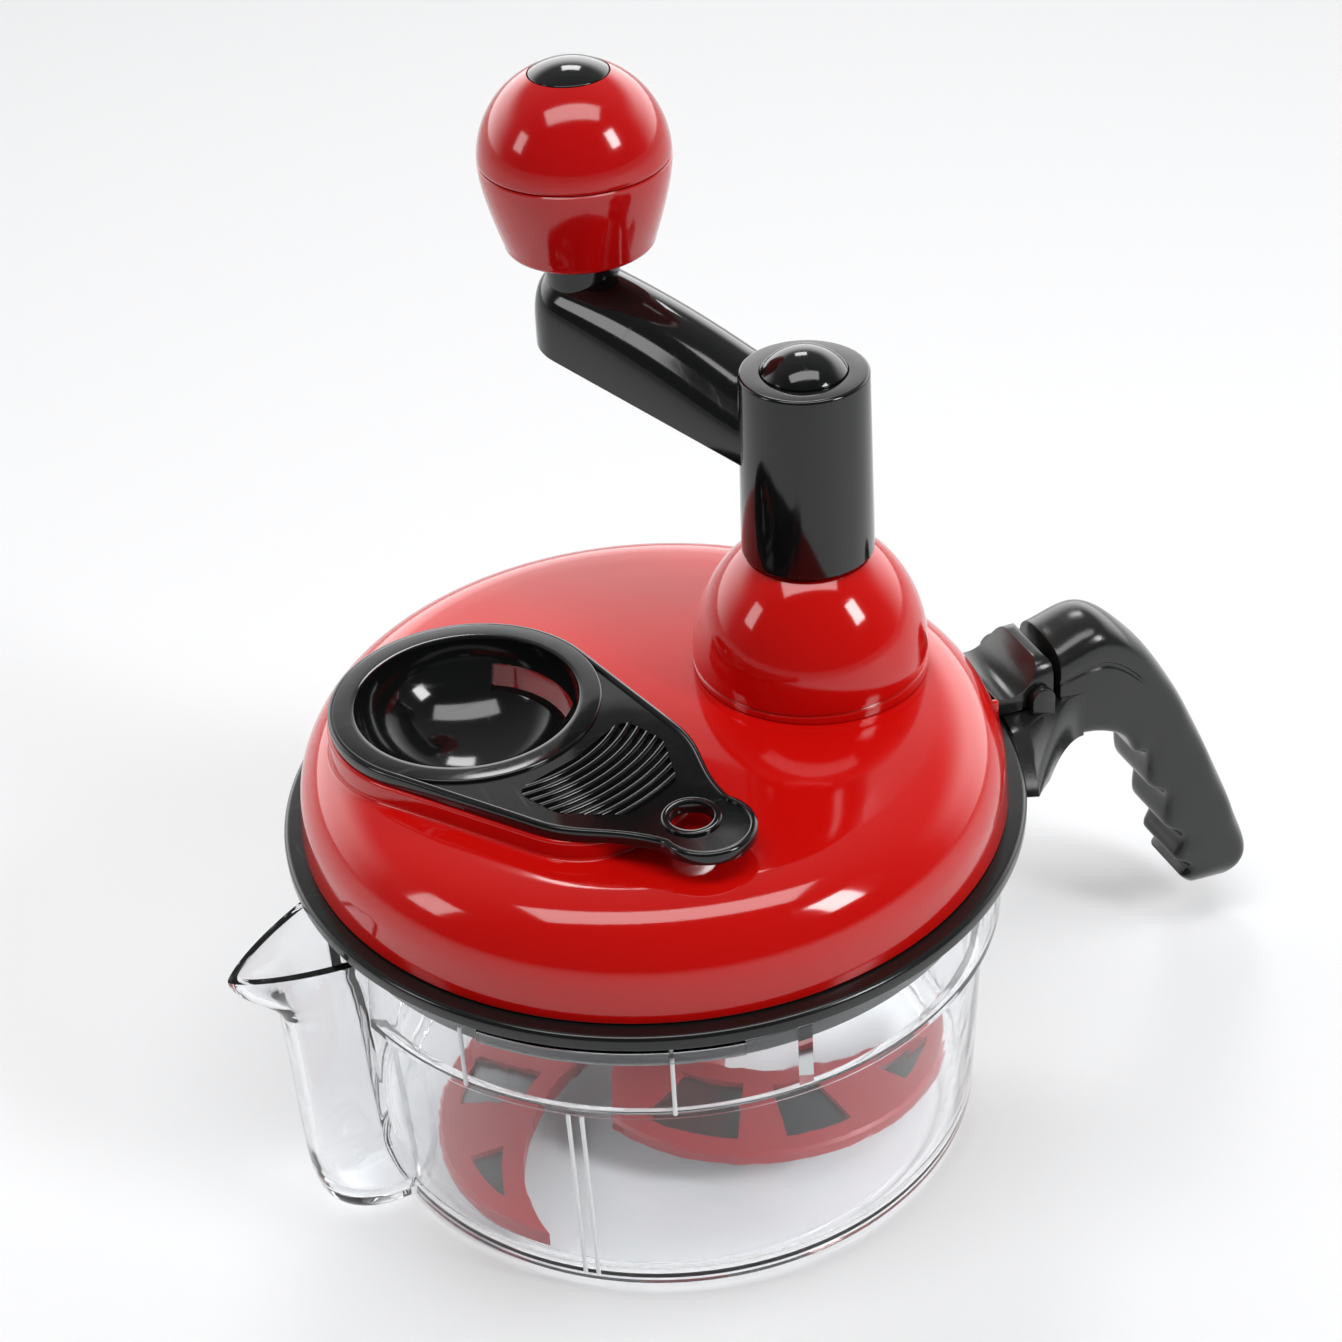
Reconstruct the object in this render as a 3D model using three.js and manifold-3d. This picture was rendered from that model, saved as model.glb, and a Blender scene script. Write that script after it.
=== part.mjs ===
// Crank food chopper: a clear bowl with a black rim collar and side handle, a geared red lid
// with a crank, three guarded crescent blades on a centre hub, and an egg separator on the lid.
// Millimetres and degrees, +Z up. The origin is on the floor under the bowl's axis, and +X
// points to the side handle.
import * as THREE from 'three';
import Module from 'manifold-3d';
import { mergeVertices } from 'three/addons/utils/BufferGeometryUtils.js';

const wasm = await Module();
wasm.setup();

// Clearances and cutting
const seatGap = 0.3;            // between pieces that rest on, clip to or screw to each other
const runGap = 0.35;            // round anything that turns
const overrun = 2;              // cutters run this far past the face they cut

// Facets round a full turn, and steps along a curve
const largeSegments = 44;
const mediumSegments = 20;
const smallSegments = 8;
const curveSteps = 5;
const roundSteps = 3;
const hexCorners = 6;

// Bowl
const bowlMouthRadius = 84.3;   // above the ledge
const bowlRimHeight = 90.4;
const bowlFootInset = 6.4;      // from the mouth's radius in to the foot's
const bowlWaistInset = 3.9;     // and in to the wall's, just under the ledge
const bowlLedgeShare = 0.669;   // of the rim's height
const bowlLedgeRise = 2.4;
const bowlWall = 2.4;
const bowlFloor = 3.4;
const bowlFootRound = 2.2;
const bowlFloorRound = 6;
const footRingWidth = 7;
const footRecess = 0.8;
const footPadRadius = 14;
const rimBandHeight = 6;        // the closed band of rim that bridges the spout
const lugProud = 2.3;
const lugHeight = 4;
const lugDrop = 5.4;            // from the rim down to the top of the locking lugs
const lugSweep = 41;
const lugAzimuth = -119.5;
const lugCount = 3;
const scaleRibAzimuth = -126.5;
const scaleRibWidth = 3.4;
const scaleRibProud = 0.8;
const scaleRibFoot = 5.6;
const pourRibAzimuths = [-144, -110];
const pourRibWidth = 1.4;
const pourRibHeight = 18;
const bowlFootRadius = bowlMouthRadius - bowlFootInset;
const bowlWaistRadius = bowlMouthRadius - bowlWaistInset;
const bowlInnerMouth = bowlMouthRadius - bowlWall;
const bowlLedgeHeight = bowlRimHeight * bowlLedgeShare;

// Pouring spout: a pocket the full height of the bowl that opens into a beak
const spoutAzimuth = 185;
const spoutRootDepth = 7.9;     // how far inside the foot's radius the spout starts
const spoutShoulderInset = 4.3; // inside the mouth's radius, where its sides start to round
const spoutHalfWidth = 13;
const pocketFootHeight = 2.4;
const pocketFloor = 3;
const pocketJut = 16.4;         // past the mouth's radius
const pocketTopShare = 0.708;   // of the rim's height
const beakJut = 27.6;
const beakHalfWidth = 16;
const beakRootDrop = 5.2;       // from the rim down to the beak's top edge at the bowl
const beakDip = 5.2;            // and from there down to its tip
// Height, width and reach as shares, and how square the outline is
const pocketLevelShares = [
  { height: 0, width: 0.72, reach: 0.55, square: 2.3 },
  { height: 0.04, width: 0.88, reach: 0.78, square: 2.4 },
  { height: 0.13, width: 0.97, reach: 0.9, square: 2.5 },
  { height: 0.35, width: 1, reach: 0.94, square: 2.5 },
  { height: 1, width: 1, reach: 1, square: 2.4 },
];
const beakLevelShares = [
  { height: 0.35, width: 0.25, reach: 0.24, square: 2.1 },
  { height: 0.66, width: 0.6, reach: 0.76, square: 1.7 },
  { height: 0.86, width: 0.9, reach: 0.96, square: 1.45 },
  { height: 1, width: 1, reach: 1, square: 1.35 },
];
const spoutOutlineSteps = 14;
const spoutRootRadius = bowlFootRadius - spoutRootDepth;
const spoutShoulderRadius = bowlMouthRadius - spoutShoulderInset;
const pocketReach = bowlMouthRadius + pocketJut;
const pocketTop = bowlRimHeight * pocketTopShare;
const beakReach = bowlMouthRadius + beakJut;
const beakTop = bowlRimHeight - beakRootDrop;

// Rim collar
const collarOverhang = 5.7;     // past the bowl's mouth
const collarCover = 1.9;        // above the bowl's rim
const collarSkirt = 3.55;       // height of its outer face
const collarRound = 1.3;
const tongueHalfWidth = 10;
const tongueDrop = 2.1;         // from the collar's top down to the tongue's
const tongueThickness = 4.2;
const collarRadius = bowlMouthRadius + collarOverhang;
const collarTop = bowlRimHeight + collarCover;
const collarUnder = collarTop - collarSkirt;
const tongueHigh = collarTop - tongueDrop;
const tongueLow = tongueHigh - tongueThickness;

// Side handle. Its inner and outer edges are points from the neck to the tip: how far out
// from the collar as a share of the handle's reach, and how high as a share of the collar's.
const handleReach = 79.3;
const handleInnerShares = [
  [0.199, 0.856], [0.366, 0.834], [0.46, 0.786], [0.523, 0.672],
  [0.605, 0.498], [0.675, 0.325], [0.706, 0.222], [0.763, 0.157],
];
const handleOuterShares = [
  [0.199, 1.155], [0.366, 1.188], [0.517, 1.083], [0.668, 0.888],
  [0.807, 0.639], [0.924, 0.401], [0.991, 0.222], [0.946, 0.146],
];
const handleHalfWidth = 11;
const handleTipHalfWidth = 9.6;
const handleEndHalfWidth = 6.5;
const handleRidgeShare = 0.52;  // how far up the section the flat sides reach
const handleFloorShare = 0.84;  // width of its inner face
const handleFloorRiseShare = 0.08;
const handleBackSquareShare = 0.85; // under 1 squares the rounded back
const scallopCount = 4;
const scallopDepth = 3.2;
const scallopStartShare = 0.36;
const scallopEndShare = 0.9;
const handleStations = 36;
const flareSweep = 22;
const flareTipWidth = 3.4;
const flareTipDrop = 7.7;
const flareReachShare = 0.29;
const flarePullShare = 0.62;
const tongueBack = 4.8;         // from the neck's front face back to the tongue's end
const handleScrewInset = 5;
const handleScrewOffset = 5.4;
const handleScrewRadius = 1.6;
const handleScrewHeadRadius = 3;
const handleScrewHeadHeight = 2.2;
const handleScrewBearing = 2.6; // of handle between the screw's head and the tongue
const handlePoint = ([out, up]) => [collarRadius + out * handleReach, up * collarTop];
const neckFront = handlePoint(handleInnerShares[0])[0];
const neckUnder = handlePoint(handleInnerShares[0])[1];
const flareReach = collarRadius + flareReachShare * handleReach;
const flareTipUnder = collarTop - flareTipDrop;
const tongueReach = neckFront - tongueBack;
const handleScrewReach = tongueReach - handleScrewInset;
const handleScrewSeat = tongueLow - handleScrewBearing;
const handleScrewTop = tongueHigh - seatGap;

// Thumb latch on the root of the handle
const latchOverlap = 2.8;       // its nose lies this far inside the collar's edge
const latchBackGap = 2.4;       // from its back to the neck, so that it can tilt
const latchLift = 0.9;          // above the collar's top
const latchShoulderRise = 5.4;  // from its underside
const latchHeight = 12;
const latchHalfWidth = 11.5;
const latchPadDepth = 3.4;
const latchLip = 3.6;
const latchPinInset = 4;
const latchPinRise = 3;
const latchPinRadius = 1.5;
const latchEarThickness = 2.6;
const latchEarRadius = 3.2;
const latchHeelRise = 1;        // the heel is cut up this much so that it can rock back
const latchFront = collarRadius - latchOverlap;
const latchBack = neckFront - latchBackGap;
const latchUnder = collarTop + latchLift;
const latchShoulder = latchUnder + latchShoulderRise;
const latchCrown = latchUnder + latchHeight;
const latchPinReach = latchBack - latchPinInset;
const latchPinHeight = latchUnder + latchPinRise;

// Lid cover
const lidStandOut = 1.3;        // past the bowl's mouth
const lidShoulderInset = 0.67;
const lidShoulderRise = 9.87;   // from the lid's foot to where its shoulder starts to turn
const lidShoulderRound = 15.43;
const lidCrownRise = 2;
const lidCrownShare = 0.75;     // of that rise, half way in from the shoulder
const lidWall = 2.4;
const catchRibWidth = 1.6;
const catchRibProud = 1.4;
const catchRibHeight = 7;
const catchRibSpacing = 26;
const screwPostRadius = 3.6;
const screwPostInset = 14.1;
const screwPostAzimuths = [60, 121, -113, -60];
const plateScrewRadius = 1.5;
const plateScrewLength = 12;
const plateScrewHeadRadius = 3;
const plateScrewHeadHeight = 1.8;
const lidFoot = collarTop + seatGap;
const lidFootRadius = bowlMouthRadius + lidStandOut;
const lidShoulderRadius = lidFootRadius - lidShoulderInset;
const lidShoulderHeight = lidFoot + lidShoulderRise;
const lidFlatRadius = lidShoulderRadius - lidShoulderRound;
const lidFlatHeight = lidShoulderHeight + lidShoulderRound;
const lidTop = lidFlatHeight + lidCrownRise;
const screwPostReach = lidFootRadius - screwPostInset;

// Gear plate, with the plug ring under it that enters the bowl
const plateSink = 0.8;          // below the collar's top
const plateThickness = 2.4;
const plugGap = 1;              // to the bowl's wall
const plugWall = 2.3;
const plugLength = 14.5;
const sealHeight = 3;
const sealProud = 0.7;
const sealDepth = 1.1;
const sealAbovePlugFoot = 4;
const plateTop = collarTop - plateSink;
const plateUnder = plateTop - plateThickness;
const plugRadius = bowlInnerMouth - plugGap;
const plugFoot = plateTop - plugLength;

// Gear train: 52 teeth on the crank drive the 16 teeth over the blades
const crankReachShare = 0.4965; // of the lid's radius, from the lid's middle to the crank
const crankTeeth = 52;
const pinionTeeth = 16;
const pressureAngle = 20;
const backlash = 0.36;
const addendumShare = 1;        // both of the module
const dedendumShare = 1.25;
const flankSteps = 2;
const gearLift = 6.5;           // from the plate up to the teeth
const gearFace = 8;
const gearRecess = 2.4;
const gearRimWidth = 3.4;
const gearHubRadius = 9.5;
const gearHoleRadius = 4.6;
const gearHoleCount = 6;
const washerThickness = 0.9;
const washerRadius = 8;
const crankReach = lidFootRadius * crankReachShare;
const gearModule = 2 * crankReach / (crankTeeth + pinionTeeth);
const pinionTipRadius = gearModule * (pinionTeeth / 2 + addendumShare);
const gearBottom = plateTop + gearLift;
const gearTop = gearBottom + gearFace;

// Gear dome
const domeRadius = 28.5;
const domeHalfHeight = 33;      // of the oval that it is part of
const domeLift = 3.1;           // from the lid's flat up to that oval's middle
const domeRise = 31.1;          // from the lid's flat up to the dome's top
const domeWall = 2.4;
const domeGrooveDepth = 0.6;
const domeGrooveWidth = 0.9;
const domeSleeveWall = 2.2;
const domePostReach = 19.5;
const domePostRadius = 3;
const domePostAzimuths = [0, 120, 240];
const domeScrewRadius = 1.3;
const domeScrewLength = 9;
const domeScrewHeadRadius = 2.6;
const domeScrewHeadHeight = 1.6;
const domeCentreHeight = lidFlatHeight + domeLift;
const domeTop = lidFlatHeight + domeRise;

// Crank shaft, pinion and their bearings
const shaftRadius = 5;
const shaftHexAcross = 9;
const shaftJournalRadius = 3.8;
const shaftSink = 0.2;          // of its bearing into the gear plate
const shaftScrewDepth = 15;
const footBearingRadius = 8;
const bushWall = 2.6;
const bushFlangeWidth = 1.85;
const bushFlangeThickness = 0.8;
const shaftBushLength = 12;
const hubGapAboveBush = 0.35;
const pinionJournalRadius = 5.6;
const pinionTubeWall = 2;
const pinionTubeDrop = 5.6;     // below the gear plate
const pinionTopRadius = 3;
const pinionTopLength = 7;
const pinionHexAcross = 9.4;
const lidBossWall = 2.2;
const bushRadius = shaftRadius + runGap + bushWall;
const pinionBushRadius = pinionJournalRadius + runGap + bushWall;
const shaftFoot = plateTop - shaftSink + seatGap;
const pinionTubeFoot = plateUnder - pinionTubeDrop;

// Crank arm and hub. The arm's heights are from the hub's top: its underside, the top of its
// upright sides and its crown, at the hub and at the knob.
const hubLength = 46.65;
const hubFootRadius = 15.8;
const hubTopRadius = 15.1;
const hubTopRound = 0.8;
const capRadius = 10;
const capSink = 3.8;
const capEdgeRise = 0.5;
const capRise = 5.4;
const crankScrewRadius = 2;
const crankScrewHeadRadius = 5.2;
const crankScrewHeadHeight = 3.4;
const crankScrewSink = 9.8;
const crankScrewBearing = 3.6;
const armLength = 67.4;
const armAzimuth = 116.5;
const armHalfWidth = 12.4;
const armHubHalfWidth = 12.8;
const armAtHub = { under: -24.2, side: -16.4, crown: -6.8 };
const armAtKnob = { under: -12.2, side: -9.4, crown: 6.2 };
const armRiseShare = 0.72;      // the crown stops rising this far along
const armFloorShare = 0.92;     // width of its underside
const armFloorRiseShare = 0.2;  // of its upright sides, where the underside's edge ends
const armCrownSquareShare = 0.8;
const armEndLowShare = 0.7;     // how far up its upright sides the rounded end starts
const armEndSquareShare = 0.6;
const armStations = 12;
const armSectionSteps = 7;
const neckRadius = 9;
const neckRise = 12.5;
const hubFoot = domeTop + bushFlangeThickness + hubGapAboveBush;
const hubTop = hubFoot + hubLength;
const capSeat = hubTop - capSink;
const crankScrewSeat = hubTop - crankScrewSink;
const shaftHexTop = crankScrewSeat - crankScrewBearing;
const neckTop = hubTop + neckRise;

// Crank knob
const knobRadius = 22.9;
const knobLowerHeight = 22.3;
const knobFootRadius = 18.2;
const knobFootRound = 1.8;
const knobBulgeShare = 0.72;    // how far up the lower half starts to straighten
const knobWall = 2.4;
const knobTubeWall = 2.6;
const knobPinRadius = 4;
const knobPinInset = 3.4;       // above the arm's underside
const knobPinHeadRadius = 7.4;
const knobPinHeadHeight = 1.9;
const knobShelfThickness = 2.4;
const knobCapRadius = 9.4;
const knobCapEdge = 1.4;
const knobCapRise = 2.6;
const knobFoot = neckTop + seatGap;
const knobSeamHeight = knobFoot + knobLowerHeight;
const knobCapFoot = knobSeamHeight + Math.sqrt(knobRadius ** 2 - knobCapRadius ** 2)
  - knobCapEdge;
const knobShelf = knobCapFoot - 2 * seatGap - knobPinHeadHeight;
const knobPinFoot = hubTop + armAtKnob.under + knobPinInset;

// Blades: each is a crescent between two circles, seen with its tip along +X. The circles'
// middles, the outer one's radius and the straight heel are shares of the blade's reach. The
// inner circle passes just inside the eye, so that the crescent grows out of it.
const bladeTipGap = 4.9;        // from the bowl's wall
const bladeTipBlunt = 1.4;      // off the point of the crescent
const bladeThickness = 1.2;
const lowestBlade = 8;
const bladePitch = 6;
const bladeTipAzimuths = [-143, -22, 98];
const crescentShares = {
  outerMiddle: [0.3, 0.057], outerRadius: 0.7,
  innerMiddle: [0.385, 0.439], heel: -0.177,
};
const bladeEyeRadius = 11;
const bladeEyeOverlap = 0.6;    // of the crescent with the eye's edge
const bladeEyeBore = 6.4;
const guardMargin = 2.3;
const guardThickness = 4.2;
const guardWindowMargin = 3;
const guardWindows = [[-128, -96], [-81, -60], [-36, -8]];
const bladeReach = bowlFootRadius - bowlWall - bladeTipGap;
const bladeNotchRadius = Math.hypot(...crescentShares.innerMiddle) * bladeReach
  + bladeEyeRadius - bladeEyeOverlap;

// Blade hub on its spindle
const bladeHubFootGap = 0.3;    // above the spindle's boss
const bladeHubRadius = 14;
const bladeHubCollarHeight = 19.3;
const bladeHubWaistRadius = 10.6;
const bladeHubGripRadius = 12;
const bladeHubDrop = 2;         // from the plug's foot down to the hub's top
const bladeSocketDepth = 18;
const stemGap = 1;              // under the pinion's stem
const spindleRadius = 3;
const spindleShort = 3;         // from the socket's floor down to the spindle's top
const spindleSocketFloor = 1.4;
const spindleBossRadius = 5.4;
const spindleBossRise = 1;
const bladeHubFoot = bowlFloor + spindleBossRise + bladeHubFootGap;
const bladeHubCollarTop = bladeHubFoot + bladeHubCollarHeight;
const bladeHubTop = plugFoot - bladeHubDrop;
const bladeSocketFloor = bladeHubTop - bladeSocketDepth;
const pinionHexFoot = bladeSocketFloor + stemGap;
const spindleTop = bladeSocketFloor - spindleShort;

// Egg separator. Its cup fills the room between the pinion and the plug's wall, and the rest
// of its outline is shares of the cup's radius.
const separatorAzimuth = 166.9;
const separatorTurn = -64.8;
const chuteToPinion = 1.55;
const chuteToPlug = 5.6;
const chuteWall = 1.6;
const cupWall = 1.7;
const cupDepthShare = 0.755;
const deckRise = 4.6;           // of the raised deck above the lid's flat
const separatorPlate = 2.4;
const separatorRimRise = 0.8;
const separatorRimWidth = 1.7;
const headShare = 1.238;
const shoulderAlongShare = 1.7;
const shoulderWidthShare = 0.906;
const shoulderPullShare = 0.453;
const tabAlongShare = 2.868;
const tabShare = 0.472;
const tabAngle = 105;
const tabPullShare = 0.377;
const tabHoleAlongShare = 2.68;
const tabHoleShare = 0.189;
const tabHoleRimWidth = 1.8;
const cupSlotSweep = 66;
const cupSlotHighShare = 0.234; // both below the separator's top, of the cup's radius
const cupSlotLowShare = 0.442;
const cupSlotInnerShare = 0.566;
const gripPanelStartShare = 1.358;
const gripPanelEndShare = 2.302;
const gripPanelWidthShare = 0.585;
const gripPanelSweep = 44;
const gripPanelDepth = 1.1;
const gripRibCount = 8;
const gripRibWidth = 1.2;
const bossInset = 0.9;
const bossEndShare = 2.377;
const bossEndPullShare = 0.491;
const bossWall = 2.2;
const bossDeck = 2.2;
const chuteRoom = plugRadius - plugWall - pinionTipRadius - chuteToPinion - chuteToPlug;
const chuteRadius = chuteRoom / 2 - chuteWall;
const cupRadius = chuteRadius - seatGap - cupWall;
const separatorReach = pinionTipRadius + chuteToPinion + chuteRoom / 2;
const separatorSeat = lidFlatHeight + deckRise;
const separatorTop = separatorSeat + seatGap + separatorPlate;

const materials = {
  clear: { color: 0xe8eef4, roughness: 0.08, metalness: 0, transparent: true, opacity: 0.35 },
  red: { color: 0xc8140c, roughness: 0.18, metalness: 0 },
  black: { color: 0x0c0d0d, roughness: 0.2, metalness: 0 },
  smoke: { color: 0x2b2e30, roughness: 0.4, metalness: 0 },
  guard: { color: 0xb3202a, roughness: 0.35, metalness: 0 },
  steel: { color: 0xb9bcc0, roughness: 0.28, metalness: 1 },
  nylon: { color: 0xe6e3da, roughness: 0.5, metalness: 0 },
  silicone: { color: 0xd9dcdc, roughness: 0.6, metalness: 0 },
};

// Solids from three.js geometry

const radians = THREE.MathUtils.degToRad;
const mix = THREE.MathUtils.lerp;

function solid(geometry) {
  const bare = new THREE.BufferGeometry();
  bare.setAttribute('position', geometry.getAttribute('position'));
  bare.setIndex(geometry.index);
  const merged = mergeVertices(bare);
  const position = merged.getAttribute('position');
  const corner = (i) => new THREE.Vector3().fromBufferAttribute(position, i);
  const triangles = [];
  let volume = 0;
  for (let i = 0; i < merged.index.count; i += 3) {
    const [a, b, c] = merged.index.array.slice(i, i + 3);
    if (a === b || b === c || c === a) continue;
    triangles.push([a, b, c]);
    volume += corner(a).dot(corner(b).cross(corner(c)));
  }
  if (volume < 0) triangles.forEach((triangle) => triangle.reverse());
  return new wasm.Manifold(new wasm.Mesh({
    numProp: 3,
    vertProperties: new Float32Array(position.array),
    triVerts: new Uint32Array(triangles.flat()),
  }));
}

function surface(body) {
  const { vertProperties, triVerts } = body.getMesh();
  const geometry = new THREE.BufferGeometry();
  geometry.setAttribute('position', new THREE.BufferAttribute(vertProperties, 3));
  geometry.setIndex(new THREE.BufferAttribute(triVerts, 1));
  geometry.computeVertexNormals();
  return geometry;
}

const moved = (body, { x = 0, y = 0, z = 0, turn = 0 }) =>
  solid(surface(body).rotateZ(radians(turn)).translate(x, y, z));
const join = (first, ...rest) => rest.reduce((whole, body) => whole.add(body), first);
const cut = (first, ...rest) => rest.reduce((whole, body) => whole.subtract(body), first);

// A profile of [radius, height] points, turned about the Z axis
function turned(profile, segments) {
  const points = profile.map(([radius, height]) => new THREE.Vector2(radius, height));
  return solid(new THREE.LatheGeometry(points, segments).rotateX(Math.PI / 2));
}

const ring = (inner, outer, low, high, segments) => turned(
  [[inner, low], [outer, low], [outer, high], [inner, high], [inner, low]], segments);

function arc(centre, radius, from, to, steps = curveSteps) {
  return Array.from({ length: steps + 1 }, (_, i) => {
    const angle = radians(mix(from, to, i / steps));
    return [centre[0] + radius * Math.cos(angle), centre[1] + radius * Math.sin(angle)];
  });
}

function rod(radius, low, high, { x = 0, y = 0, segments = smallSegments, top = radius } = {}) {
  const geometry = new THREE.CylinderGeometry(top, radius, high - low, segments);
  return solid(geometry.rotateX(Math.PI / 2).translate(x, y, (low + high) / 2));
}

function block(x, y, z) {
  const size = [x, y, z].map(([low, high]) => high - low);
  const middle = [x, y, z].map(([low, high]) => (low + high) / 2);
  return solid(new THREE.BoxGeometry(...size).translate(...middle));
}

function prism(shape, low, high, curveSegments = curveSteps) {
  const options = { depth: high - low, bevelEnabled: false, curveSegments };
  return solid(new THREE.ExtrudeGeometry(shape, options).translate(0, 0, low));
}

// The same prism lying across the handle: the shape is drawn in X and Z, the depth is along Y
function crossPrism(shape, low, high, curveSegments = curveSteps) {
  const options = { depth: high - low, bevelEnabled: false, curveSegments };
  const geometry = new THREE.ExtrudeGeometry(shape, options).rotateX(Math.PI / 2);
  return solid(geometry.translate(0, high, 0));
}

const outline = (points) => new THREE.Shape(points.map(([x, y]) => new THREE.Vector2(x, y)));

function hexagon(across) {
  const corner = across / 2 / Math.cos(Math.PI / hexCorners);
  return outline(Array.from({ length: hexCorners }, (_, i) => {
    const angle = 2 * Math.PI * i / hexCorners;
    return [corner * Math.cos(angle), corner * Math.sin(angle)];
  }));
}

function sector(inner, outer, from, to) {
  const shape = new THREE.Shape();
  shape.absarc(0, 0, outer, radians(from), radians(to), false);
  shape.absarc(0, 0, inner, radians(to), radians(from), true);
  return shape;
}

// A closed skin over rings of points, each ring convex and with as many points
function loft(rings) {
  const count = rings[0].length;
  const points = rings.flat();
  const faces = [];
  for (let i = 0; i + 1 < rings.length; i += 1) {
    for (let j = 0; j < count; j += 1) {
      const [a, b] = [i * count + j, i * count + (j + 1) % count];
      faces.push(a, b, b + count, a, b + count, a + count);
    }
  }
  [[0, rings[0]], [(rings.length - 1) * count, rings.at(-1)]].forEach(([start, end], cap) => {
    const middle = end.reduce((sum, p) => sum.add(p), new THREE.Vector3()).divideScalar(count);
    points.push(middle);
    for (let j = 0; j < count; j += 1) {
      const [a, b] = [start + j, start + (j + 1) % count];
      faces.push(points.length - 1, ...(cap ? [a, b] : [b, a]));
    }
  });
  const geometry = new THREE.BufferGeometry().setFromPoints(points);
  geometry.setIndex(faces);
  return solid(geometry);
}

function piece(name, body, look) {
  const mesh = new THREE.Mesh(surface(body), new THREE.MeshStandardMaterial(materials[look]));
  mesh.name = name;
  return mesh;
}

// Bowl

function bowlOutside(proud) {
  const foot = bowlFootRadius + proud;
  return turned([
    [0, 0],
    [footPadRadius, 0],
    [footPadRadius, footRecess],
    [bowlFootRadius - bowlFootRound - footRingWidth, footRecess],
    [bowlFootRadius - bowlFootRound - footRingWidth, 0],
    ...arc([foot - bowlFootRound, bowlFootRound], bowlFootRound, -90, 0, roundSteps),
    [bowlWaistRadius + proud, bowlLedgeHeight],
    [bowlMouthRadius + proud, bowlLedgeHeight + bowlLedgeRise],
    [bowlMouthRadius + proud, bowlRimHeight],
    [0, bowlRimHeight],
  ], largeSegments);
}

function bowlInside() {
  const foot = bowlFootRadius - bowlWall;
  return turned([
    [0, bowlFloor],
    ...arc([foot - bowlFloorRound, bowlFloor + bowlFloorRound], bowlFloorRound, -90, 0,
      roundSteps),
    [bowlWaistRadius - bowlWall, bowlLedgeHeight + bowlWall / 2],
    [bowlInnerMouth, bowlLedgeHeight + bowlLedgeRise + bowlWall / 2],
    [bowlInnerMouth, bowlRimHeight + overrun],
    [0, bowlRimHeight + overrun],
  ], largeSegments);
}

// One level of the spout seen from above: straight out of the bowl, then rounded or pointed
function spoutLevel(halfWidth, reach, square, height, tipDrop = 0) {
  const points = [new THREE.Vector3(spoutRootRadius, -halfWidth, height)];
  for (let i = 0; i <= spoutOutlineSteps; i += 1) {
    const angle = mix(-Math.PI / 2, Math.PI / 2, i / spoutOutlineSteps);
    const out = Math.abs(Math.cos(angle)) ** (2 / square);
    const side = Math.sign(angle) * Math.abs(Math.sin(angle)) ** (2 / square);
    points.push(new THREE.Vector3(mix(spoutShoulderRadius, reach, out), side * halfWidth,
      height - tipDrop * out));
  }
  points.push(new THREE.Vector3(spoutRootRadius, halfWidth, height));
  return points;
}

function spoutLevels(inset, floor) {
  const levels = pocketLevelShares.map((share) => spoutLevel(
    spoutHalfWidth * share.width - inset,
    mix(bowlFootRadius, pocketReach, share.reach) - inset,
    share.square,
    mix(floor, pocketTop, share.height)));
  beakLevelShares.forEach((share) => levels.push(spoutLevel(
    mix(spoutHalfWidth, beakHalfWidth, share.width) - inset,
    mix(pocketReach, beakReach, share.reach) - inset,
    share.square,
    mix(pocketTop, beakTop, share.height),
    beakDip * share.height)));
  return levels;
}

function makeBowl() {
  const spoutOuter = loft(spoutLevels(0, pocketFootHeight));
  const innerLevels = spoutLevels(bowlWall, pocketFootHeight + pocketFloor);
  const mouth = innerLevels.at(-1).map((p) => new THREE.Vector3(p.x, p.y,
    bowlRimHeight + overrun));
  const spoutInner = loft([...innerLevels, mouth]);
  const toSpout = { turn: spoutAzimuth };
  const boss = rod(spindleBossRadius, bowlFloor - overrun / 2, bowlFloor + spindleBossRise);
  const socket = rod(spindleRadius + seatGap, spindleSocketFloor,
    bowlFloor + spindleBossRise + overrun);
  const lugs = Array.from({ length: lugCount }, (_, i) => {
    const middle = lugAzimuth + 360 * i / lugCount;
    const shape = sector(bowlMouthRadius - bowlWall / 2, bowlMouthRadius + lugProud,
      middle - lugSweep / 2, middle + lugSweep / 2);
    return prism(shape, bowlRimHeight - lugDrop - lugHeight, bowlRimHeight - lugDrop);
  });
  const proud = bowlOutside(scaleRibProud);
  const wallStart = bowlFootRadius - bowlWall / 2;
  const ribOf = (azimuth, width, low, high) => moved(
    block([wallStart, collarRadius], [-width / 2, width / 2], [low, high]),
    { turn: azimuth }).intersect(proud);
  const pourRibLow = bowlLedgeHeight + bowlLedgeRise;
  const ribs = [
    ribOf(scaleRibAzimuth, scaleRibWidth, scaleRibFoot, bowlLedgeHeight),
    ...pourRibAzimuths.map((azimuth) =>
      ribOf(azimuth, pourRibWidth, pourRibLow, pourRibLow + pourRibHeight)),
  ];
  const rimBand = ring(bowlInnerMouth, bowlMouthRadius, bowlRimHeight - rimBandHeight,
    bowlRimHeight, largeSegments);
  const filled = join(bowlOutside(0), moved(spoutOuter, toSpout), ...ribs);
  const hollow = cut(filled, bowlInside(), moved(spoutInner, toSpout));
  return cut(join(hollow, rimBand, boss, ...lugs), socket);
}

function makeSpindle() {
  const foot = spindleSocketFloor + seatGap;
  return turned([
    [0, foot],
    [spindleRadius, foot],
    ...arc([0, spindleTop - spindleRadius], spindleRadius, 0, 90, roundSteps),
  ], smallSegments);
}

// Rim collar, side handle and latch

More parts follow.
